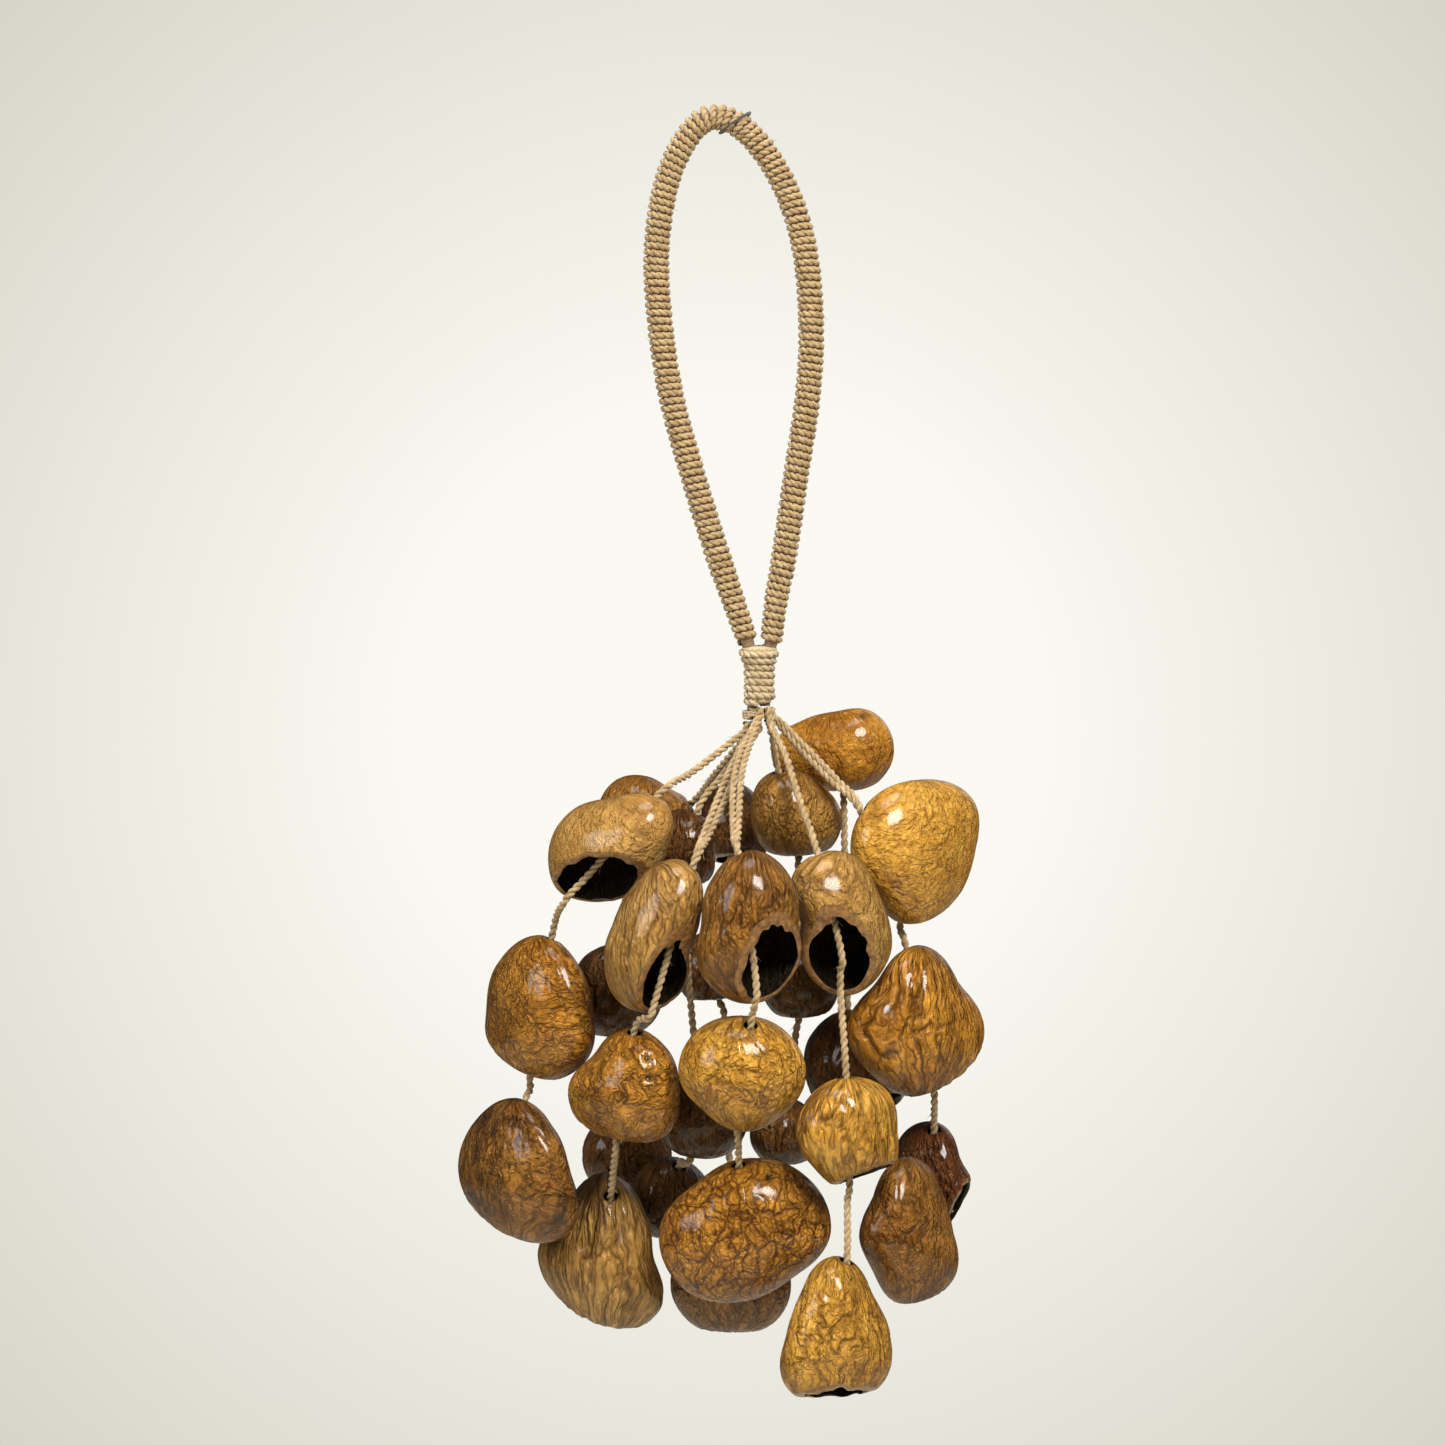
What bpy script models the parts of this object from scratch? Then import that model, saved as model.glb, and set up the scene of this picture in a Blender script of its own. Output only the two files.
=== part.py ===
"""Nutshell rattle: a hand loop wrapped in cord, and ten strings of hollow nutshells that knock together.

Units are metres, +Z is up and -Y is the front. The origin is the top of the inside of the loop, where it hangs.
"""
import math

import bmesh
import bpy
from mathutils import Matrix, Vector
from mathutils.bvhtree import BVHTree

# Driving sizes of the handle
CORE_RADIUS = 0.0024
CORE_GAP = 0.0003
WRAP_WALL = 0.0006
WRAP_RIDGE = 0.0004
WRAP_PITCH = 0.0020
CROTCH_Z = -0.1370
TAPER_START_Z = -0.1150
CROTCH_SCALE = 0.74

# Middle of the wrapped loop, left leg up from the neck, over the top and down the right leg (x, z)
LOOP = [
    (0.0084, -0.1362),
    (0.0052, -0.1270),
    (0.0001, -0.1121),
    (-0.0063, -0.0915),
    (-0.0120, -0.0707),
    (-0.0152, -0.0497),
    (-0.0160, -0.0300),
    (-0.0127, -0.0105),
    (-0.0052, 0.0028),
    (0.0026, 0.0046),
    (0.0110, -0.0017),
    (0.0190, -0.0146),
    (0.0240, -0.0311),
    (0.0257, -0.0518),
    (0.0247, -0.0707),
    (0.0216, -0.0915),
    (0.0186, -0.1121),
    (0.0160, -0.1270),
    (0.0150, -0.1362),
]

# Driving sizes of the neck, where both legs of the loop are bound together
NECK_X = 0.0117
NECK_DROP = 0.0004
NECK_TAPER = 0.0058
NECK_SHANK = 0.0108
NECK_TOP_Z = CROTCH_Z - NECK_DROP
NECK_WAIST_Z = NECK_TOP_Z - NECK_TAPER
NECK_BOTTOM_Z = NECK_WAIST_Z - NECK_SHANK
NECK_PITCH = 0.0022
NECK_TOP_RADIUS = 0.0064
NECK_RADIUS = 0.0044
NECK_RIDGE = 0.0003
NECK_WALL = 0.0008
NECK_LEG_OFFSET = 0.0015
NECK_LEG_RADIUS = 0.0014

# The bunch keeps its place under the neck; the table of strands puts the neck here (x, z)
TABLE_NECK = (0.0117, -0.1540)
BUNCH = Vector((NECK_X - TABLE_NECK[0], 0.0, NECK_BOTTOM_Z - TABLE_NECK[1]))

# Driving sizes of the tie, a few turns of thin cord on the left under the neck
TIE_X = 0.0098
TIE_TURNS = 3
TIE_CORD_RADIUS = 0.00055
TIE_RADIUS = 0.0028
TIE_GAP = 0.0004
TIE_TOP_Z = NECK_BOTTOM_Z - TIE_GAP
TIE_BOTTOM_Z = TIE_TOP_Z - 2.0 * TIE_TURNS * TIE_CORD_RADIUS

# Driving sizes of the strings and their knots
STRING_RADIUS = 0.00105
STRING_TOP_RADIUS = 0.00080
STRING_TOP_TAPER = 0.0080
STRING_TOP_GAP = 0.0006
STRING_STEP = 6.0 * STRING_RADIUS
KNOT_RADIUS = 0.0022
KNOT_LENGTH = 0.0036
KNOT_GAP = 0.0004
KNOT_STEP = 0.0001
HOLE_CLEARANCE = 0.00055
STRAIGHT_BEFORE_HOLE = 0.0020
STRAIGHT_BELOW_NECK = 0.0020
STRING_END = 0.0140

# Places of the string tops, on a ring under the neck and on a small one under the tie
NECK_RING = 0.00345
TIE_RING = 0.00175

# Driving sizes of the hand-cut thread on the top of the loop
THREAD_RADIUS = 0.00035
THREAD_GAP = 0.0005
THREAD_PLACE = 0.0052
THREAD_HEIGHT = 0.0040

# Driving sizes of the nutshells
SHELL_WALL = 0.0018
SHELL_SEGMENTS = 14
SHELL_RINGS = 6
HOLLOW_SEGMENTS = 10
LEAN_PER_METRE = 9.0
REAR_LEAN = 0.6
REAR_Y = 0.0050
BUNDLE_X = 0.0050
CUTTER_SIZE = 0.0600
DRILL_LENGTH = 0.0090
ROUND_SIDES = 8

MM = 0.001
PARTS = "nutshell_rattle"
CUTTERS = "cutters"


def mm(*values):
    """Millimetres as metres."""
    return [value * MM for value in values]


# Scene and collections

def clear_scene():
    for old in list(bpy.data.objects):
        bpy.data.objects.remove(old, do_unlink=True)


def collection(name):
    new = bpy.data.collections.new(name)
    bpy.context.scene.collection.children.link(new)
    return new


def place(obj, group, colour=None, roughness=0.6):
    """Put an object in its collection, with a material of its own if it is a part."""
    bpy.data.collections[group].objects.link(obj)
    if group == CUTTERS:
        obj.hide_render = True
        obj.display_type = "WIRE"
    if colour:
        material = bpy.data.materials.new(obj.name + "_finish")
        material.use_nodes = True
        shader = material.node_tree.nodes["Principled BSDF"]
        shader.inputs["Base Color"].default_value = (*colour, 1.0)
        shader.inputs["Roughness"].default_value = roughness
        shader.inputs["Metallic"].default_value = 0.0
        obj.data.materials.append(material)
    return obj


STRAW = (0.45, 0.32, 0.16)
DARK_THREAD = (0.06, 0.05, 0.045)
GOLD = (0.46, 0.25, 0.07)
TAN = (0.50, 0.31, 0.13)
BROWN = (0.30, 0.13, 0.035)


# Curves

def spline_point(p, t):
    """A point of the Catmull-Rom curve between the middle two of four points."""
    return 0.5 * (
        2.0 * p[1]
        + (p[2] - p[0]) * t
        + (2.0 * p[0] - 5.0 * p[1] + 4.0 * p[2] - p[3]) * t * t
        + (3.0 * p[1] - p[0] - 3.0 * p[2] + p[3]) * t * t * t
    )


def smooth(points, steps=16):
    """Many points of a smooth curve through the points given."""
    ends = [2.0 * points[0] - points[1]] + points + [2.0 * points[-1] - points[-2]]
    line = []
    for i in range(len(points) - 1):
        for step in range(steps):
            line.append(spline_point(ends[i:i + 4], step / steps))
    return line + [points[-1].copy()]


def lengths(line):
    """How far along the line each of its points is."""
    along = [0.0]
    for a, b in zip(line, line[1:]):
        along.append(along[-1] + (b - a).length)
    return along


def at_length(line, along, distance):
    """The point of a line at a distance from its start."""
    distance = min(max(distance, 0.0), along[-1])
    for i in range(len(along) - 1):
        if along[i + 1] >= distance:
            share = (distance - along[i]) / max(along[i + 1] - along[i], 1e-9)
            return line[i].lerp(line[i + 1], share)
    return line[-1].copy()


def spread(length, step):
    """Distances from 0 to a length, about a step apart."""
    count = max(2, round(length / step))
    return [length * i / count for i in range(count + 1)]


def tube(name, points, radii):
    """A curve object along the points, as thick at each as its radius says."""
    curve = bpy.data.curves.new(name, "CURVE")
    curve.dimensions = "3D"
    curve.bevel_depth = max(radii)
    curve.bevel_resolution = 2
    curve.use_fill_caps = True
    spline = curve.splines.new("POLY")
    spline.points.add(len(points) - 1)
    for target, point, radius in zip(spline.points, points, radii):
        target.co = (*point, 1.0)
        target.radius = radius / curve.bevel_depth
    return bpy.data.objects.new(name, curve)


def tube_mesh(name, points, radii):
    """The same tube as a closed mesh object."""
    curve = tube(name + "_curve", points, radii)
    bpy.context.scene.collection.objects.link(curve)
    seen = curve.evaluated_get(bpy.context.evaluated_depsgraph_get())
    mesh = bpy.data.meshes.new_from_object(seen)
    edit = bmesh.new()
    edit.from_mesh(mesh)
    bmesh.ops.remove_doubles(edit, verts=edit.verts, dist=0.00001)
    bmesh.ops.recalc_face_normals(edit, faces=edit.faces)
    edit.to_mesh(mesh)
    edit.free()
    obj = bpy.data.objects.new(name, mesh)
    obj.matrix_world = curve.matrix_world
    bpy.data.objects.remove(curve, do_unlink=True)
    return obj


def subtract(obj, cutter):
    cut = obj.modifiers.new(cutter.name, "BOOLEAN")
    cut.operation = "DIFFERENCE"
    cut.solver = "EXACT"
    cut.object = cutter


# Handle

def loop_line():
    return smooth([Vector((x, 0.0, z)) for x, z in LOOP])


def loop_stations():
    """The points that both the core and the bore of the wrapping run through."""
    line = loop_line()
    along = lengths(line)
    return [at_length(line, along, d) for d in spread(along[-1], 2.1 * CORE_RADIUS)]


def leg_scale(z):
    """1 along the loop, and less where its legs narrow towards the neck."""
    share = min(max((TAPER_START_Z - z) / (TAPER_START_Z - CROTCH_Z), 0.0), 1.0)
    return 1.0 - (1.0 - CROTCH_SCALE) * share


def ridged(line, pitch):
    """Points half a turn of cord apart, each with 1 on a ridge and 0 between ridges."""
    along = lengths(line)
    turns = round(along[-1] / pitch)
    half = along[-1] / (2 * turns)
    return [(at_length(line, along, i * half), i % 2) for i in range(2 * turns + 1)]


def handle_core():
    """The cords inside the wrapping: a loop whose two ends lie side by side in the neck."""
    left_x = NECK_X - NECK_LEG_OFFSET
    right_x = NECK_X + NECK_LEG_OFFSET
    middle_z = (NECK_WAIST_Z + NECK_BOTTOM_Z) / 2
    left = [(TIE_X, TIE_BOTTOM_Z), (TIE_X, TIE_TOP_Z), (left_x, middle_z), (left_x, NECK_WAIST_Z)]
    right = [(right_x, NECK_WAIST_Z), (right_x, middle_z), (right_x, NECK_BOTTOM_Z)]
    points = [Vector((x, 0.0, z)) for x, z in left] + loop_stations()
    points += [Vector((x, 0.0, z)) for x, z in right]
    radii = []
    for point in points:
        down = (CROTCH_Z - point.z) / (CROTCH_Z - NECK_WAIST_Z)
        share = min(max(down, 0.0), 1.0)
        leg = CORE_RADIUS * leg_scale(point.z)
        radii.append(leg + (NECK_LEG_RADIUS - leg) * share)
    return place(tube_mesh("handle_core", points, radii), PARTS, (0.36, 0.26, 0.14), 0.85)


def handle_wrapping():
    """The tight turns of cord round the core, as a ridged sleeve."""
    line = loop_line()
    points, radii = [], []
    for point, ridge in ridged(line, WRAP_PITCH):
        bore = CORE_RADIUS * leg_scale(point.z) + CORE_GAP
        points.append(point)
        radii.append(bore + WRAP_WALL + WRAP_RIDGE * ridge)
    sleeve = tube_mesh("handle_wrapping", points, radii)
    inside = loop_stations()
    past = CORE_RADIUS
    inside = [inside[0] + (inside[0] - inside[1]).normalized() * past] + inside
    inside.append(inside[-1] + (inside[-1] - inside[-2]).normalized() * past)
    bores = [CORE_RADIUS * leg_scale(point.z) + CORE_GAP for point in inside]
    bore = place(tube_mesh("handle_bore", inside, bores), CUTTERS)
    subtract(sleeve, bore)
    return place(sleeve, PARTS, STRAW, 0.75)


def turned(name, x, profile):
    """A ring or sleeve turned from its profile (radius, z) about an upright axis."""
    mesh = bpy.data.meshes.new(name)
    edit = bmesh.new()
    ring = [edit.verts.new((radius, 0.0, z)) for radius, z in profile]
    for i in range(len(ring)):
        edit.edges.new((ring[i], ring[(i + 1) % len(ring)]))
    edit.to_mesh(mesh)
    edit.free()
    obj = bpy.data.objects.new(name, mesh)
    obj.location.x = x
    turn = obj.modifiers.new("turn", "SCREW")
    turn.steps = 14
    turn.render_steps = 14
    turn.use_merge_vertices = True
    turn.merge_threshold = 0.00001
    return place(obj, PARTS, STRAW, 0.75)


def neck_binding():
    """The turns that bind both legs, wide at the top and narrow below, open at both ends."""
    turns = round((NECK_TOP_Z - NECK_BOTTOM_Z) / NECK_PITCH)
    half = (NECK_TOP_Z - NECK_BOTTOM_Z) / (2 * turns)
    profile = []
    for i in range(2 * turns + 1):
        z = NECK_TOP_Z - i * half
        share = min(max((z - NECK_WAIST_Z) / (NECK_TOP_Z - NECK_WAIST_Z), 0.0), 1.0)
        radius = NECK_RADIUS + (NECK_TOP_RADIUS - NECK_RADIUS) * share
        profile.append((radius - NECK_RIDGE * (i % 2 == 0), z))
    profile += [
        (NECK_RADIUS - NECK_WALL, NECK_BOTTOM_Z),
        (NECK_RADIUS - NECK_WALL, NECK_WAIST_Z),
        (NECK_TOP_RADIUS - NECK_WALL, NECK_TOP_Z),
    ]
    return turned("neck_binding", NECK_X, profile)


def neck_tie():
    """A few turns of thin cord round the left end of the core, under the binding."""
    bore = NECK_LEG_RADIUS + CORE_GAP
    profile = []
    for turn in range(TIE_TURNS):
        z = TIE_TOP_Z - 2.0 * turn * TIE_CORD_RADIUS
        profile.append((TIE_RADIUS - TIE_CORD_RADIUS / 2, z))
        profile.append((TIE_RADIUS, z - TIE_CORD_RADIUS))
    profile.append((TIE_RADIUS - TIE_CORD_RADIUS / 2, TIE_BOTTOM_Z))
    profile += [(bore, TIE_BOTTOM_Z), (bore, TIE_TOP_Z)]
    return turned("neck_tie", TIE_X, profile)


def hang_thread():
    """A thin dark thread left round the top of the loop, one slanting turn."""
    line = loop_line()
    along = lengths(line)
    top = min(range(len(line)), key=lambda i: (line[i] - Vector((THREAD_PLACE, 0.0, THREAD_HEIGHT))).length)
    middle = line[top]
    forward = (line[top + 1] - line[top - 1]).normalized()
    side = forward.cross(Vector((0.0, 1.0, 0.0))).normalized()
    reach = CORE_RADIUS + CORE_GAP + WRAP_WALL + WRAP_RIDGE + THREAD_RADIUS + THREAD_GAP
    points = []
    for i in range(15):
        turn = math.radians(20.0 + 23.0 * i)
        lift = forward * 0.0022 * math.cos(turn)
        points.append(middle + lift + (side * math.cos(turn) + Vector((0.0, 1.0, 0.0)) * math.sin(turn)) * reach)
    return place(tube_mesh("hang_thread", points, [THREAD_RADIUS] * len(points)), PARTS, DARK_THREAD, 0.6)


# Nutshells

class Nut:
    """One hollow shell: its middle, its outline seen from the front, its mouth and its string hole.

    radii are eighths of a turn apart, anticlockwise from start degrees. hole is where the string goes
    in: the angle on the outline, and how far behind the middle. mouth is the way the mouth faces, and
    cut is how far from the middle it is ground. leave lists where the string runs after the knot,
    measured from the middle: at the mouth, and just clear of its rim.
    """

    def __init__(self, name, middle, radii, hole, mouth, cut, leave=(), start=0.0,
                 front=13.0, back=12.0, tone=None):
        self.name = name
        self.middle = BUNCH + Vector(mm(*middle))
        self.radii = mm(*radii)
        self.start = math.radians(start)
        self.front, self.back = mm(front, back)
        self.hole = (math.radians(hole[0]), hole[1] * MM)
        self.mouth = Vector(mouth).normalized()
        self.cut = cut * MM
        self.leave = [Vector(mm(*point)) for point in leave]
        self.tone = tone or GOLD
        facing = 1.0 if self.middle.y < REAR_Y else -REAR_LEAN
        self.lean = facing * LEAN_PER_METRE * (self.middle.x - BUNDLE_X)
        self.hollow = None

    def radius(self, angle):
        count = len(self.radii)
        u = ((angle - self.start) / math.tau * count) % count
        i = int(u)
        around = [self.radii[(i + k) % count] for k in (-1, 0, 1, 2)]
        return spline_point(around, u - i)

    def surface(self, angle, behind, wall=0.0):
        """A point of the shell at an angle of the outline, this far behind its middle plane."""
        depth = (self.front if behind < 0.0 else self.back) - wall
        share = math.sqrt(max(1.0 - (behind / depth) ** 2, 0.0))
        reach = (self.radius(angle) - wall) * share
        x = reach * math.cos(angle)
        return self.middle + Vector((x, behind + self.lean * x, reach * math.sin(angle)))

    def entry(self):
        return self.surface(*self.hole)

    def skin(self, name, wall, segments):
        """The outer skin, or the hollow inside it, as a closed mesh."""
        edit = bmesh.new()
        bmesh.ops.create_uvsphere(edit, u_segments=segments, v_segments=SHELL_RINGS, radius=1.0)
        for vert in edit.verts:
            across, up, toward = vert.co.x, vert.co.y, vert.co.z
            angle = math.atan2(up, across)
            reach = (self.radius(angle) - wall) * math.hypot(across, up)
            depth = (self.front if toward > 0.0 else self.back) - wall
            x = reach * math.cos(angle)
            vert.co = Vector((x, self.lean * x - depth * toward, reach * math.sin(angle)))
        mesh = bpy.data.meshes.new(name)
        edit.to_mesh(mesh)
        edit.free()
        obj = bpy.data.objects.new(name, mesh)
        obj.location = self.middle
        return obj

    def knot_place(self, line, along, hole):
        """How far along the string its knot sits: as near the hole as the hollow has room for it."""
        hollow = BVHTree.FromPolygons(
            [vert.co + self.middle for vert in self.hollow.data.vertices],
            [tuple(face.vertices) for face in self.hollow.data.polygons],
        )
        room = math.hypot(KNOT_RADIUS, KNOT_LENGTH / 4) + KNOT_GAP
        distance = hole + SHELL_WALL
        while distance < hole + 4.0 * KNOT_LENGTH:
            point = at_length(line, along, distance)
            near, normal, _, gap = hollow.find_nearest(point)
            if gap >= room and (point - near).dot(normal) < 0.0:
                break
            distance += KNOT_STEP
        return distance

    def build(self, outside, inside):
        """Hollow the shell, grind its mouth flat and drill its hole along the string."""
        shell = self.skin(self.name, 0.0, SHELL_SEGMENTS)
        subtract(shell, self.hollow)
        edit = bmesh.new()
        bmesh.ops.create_cube(edit, size=CUTTER_SIZE)
        box = bpy.data.meshes.new(self.name + "_mouth")
        edit.to_mesh(box)
        edit.free()
        grinder = place(bpy.data.objects.new(box.name, box), CUTTERS)
        grinder.rotation_mode = "QUATERNION"
        grinder.rotation_quaternion = self.mouth.to_track_quat("Z", "Y")
        grinder.location = self.middle + self.mouth * (self.cut + CUTTER_SIZE / 2)
        subtract(shell, grinder)
        edit = bmesh.new()
        bmesh.ops.create_cone(
            edit, cap_ends=True, segments=ROUND_SIDES,
            radius1=STRING_RADIUS + HOLE_CLEARANCE, radius2=STRING_RADIUS + HOLE_CLEARANCE, depth=DRILL_LENGTH,
        )
        rod = bpy.data.meshes.new(self.name + "_drill")
        edit.to_mesh(rod)
        edit.free()
        drill = place(bpy.data.objects.new(rod.name, rod), CUTTERS)
        drill.rotation_mode = "QUATERNION"
        drill.rotation_quaternion = (inside - outside).to_track_quat("Z", "Y")
        drill.location = (outside + inside) / 2
        subtract(shell, drill)
        return place(shell, PARTS, self.tone, 0.38)


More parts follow.
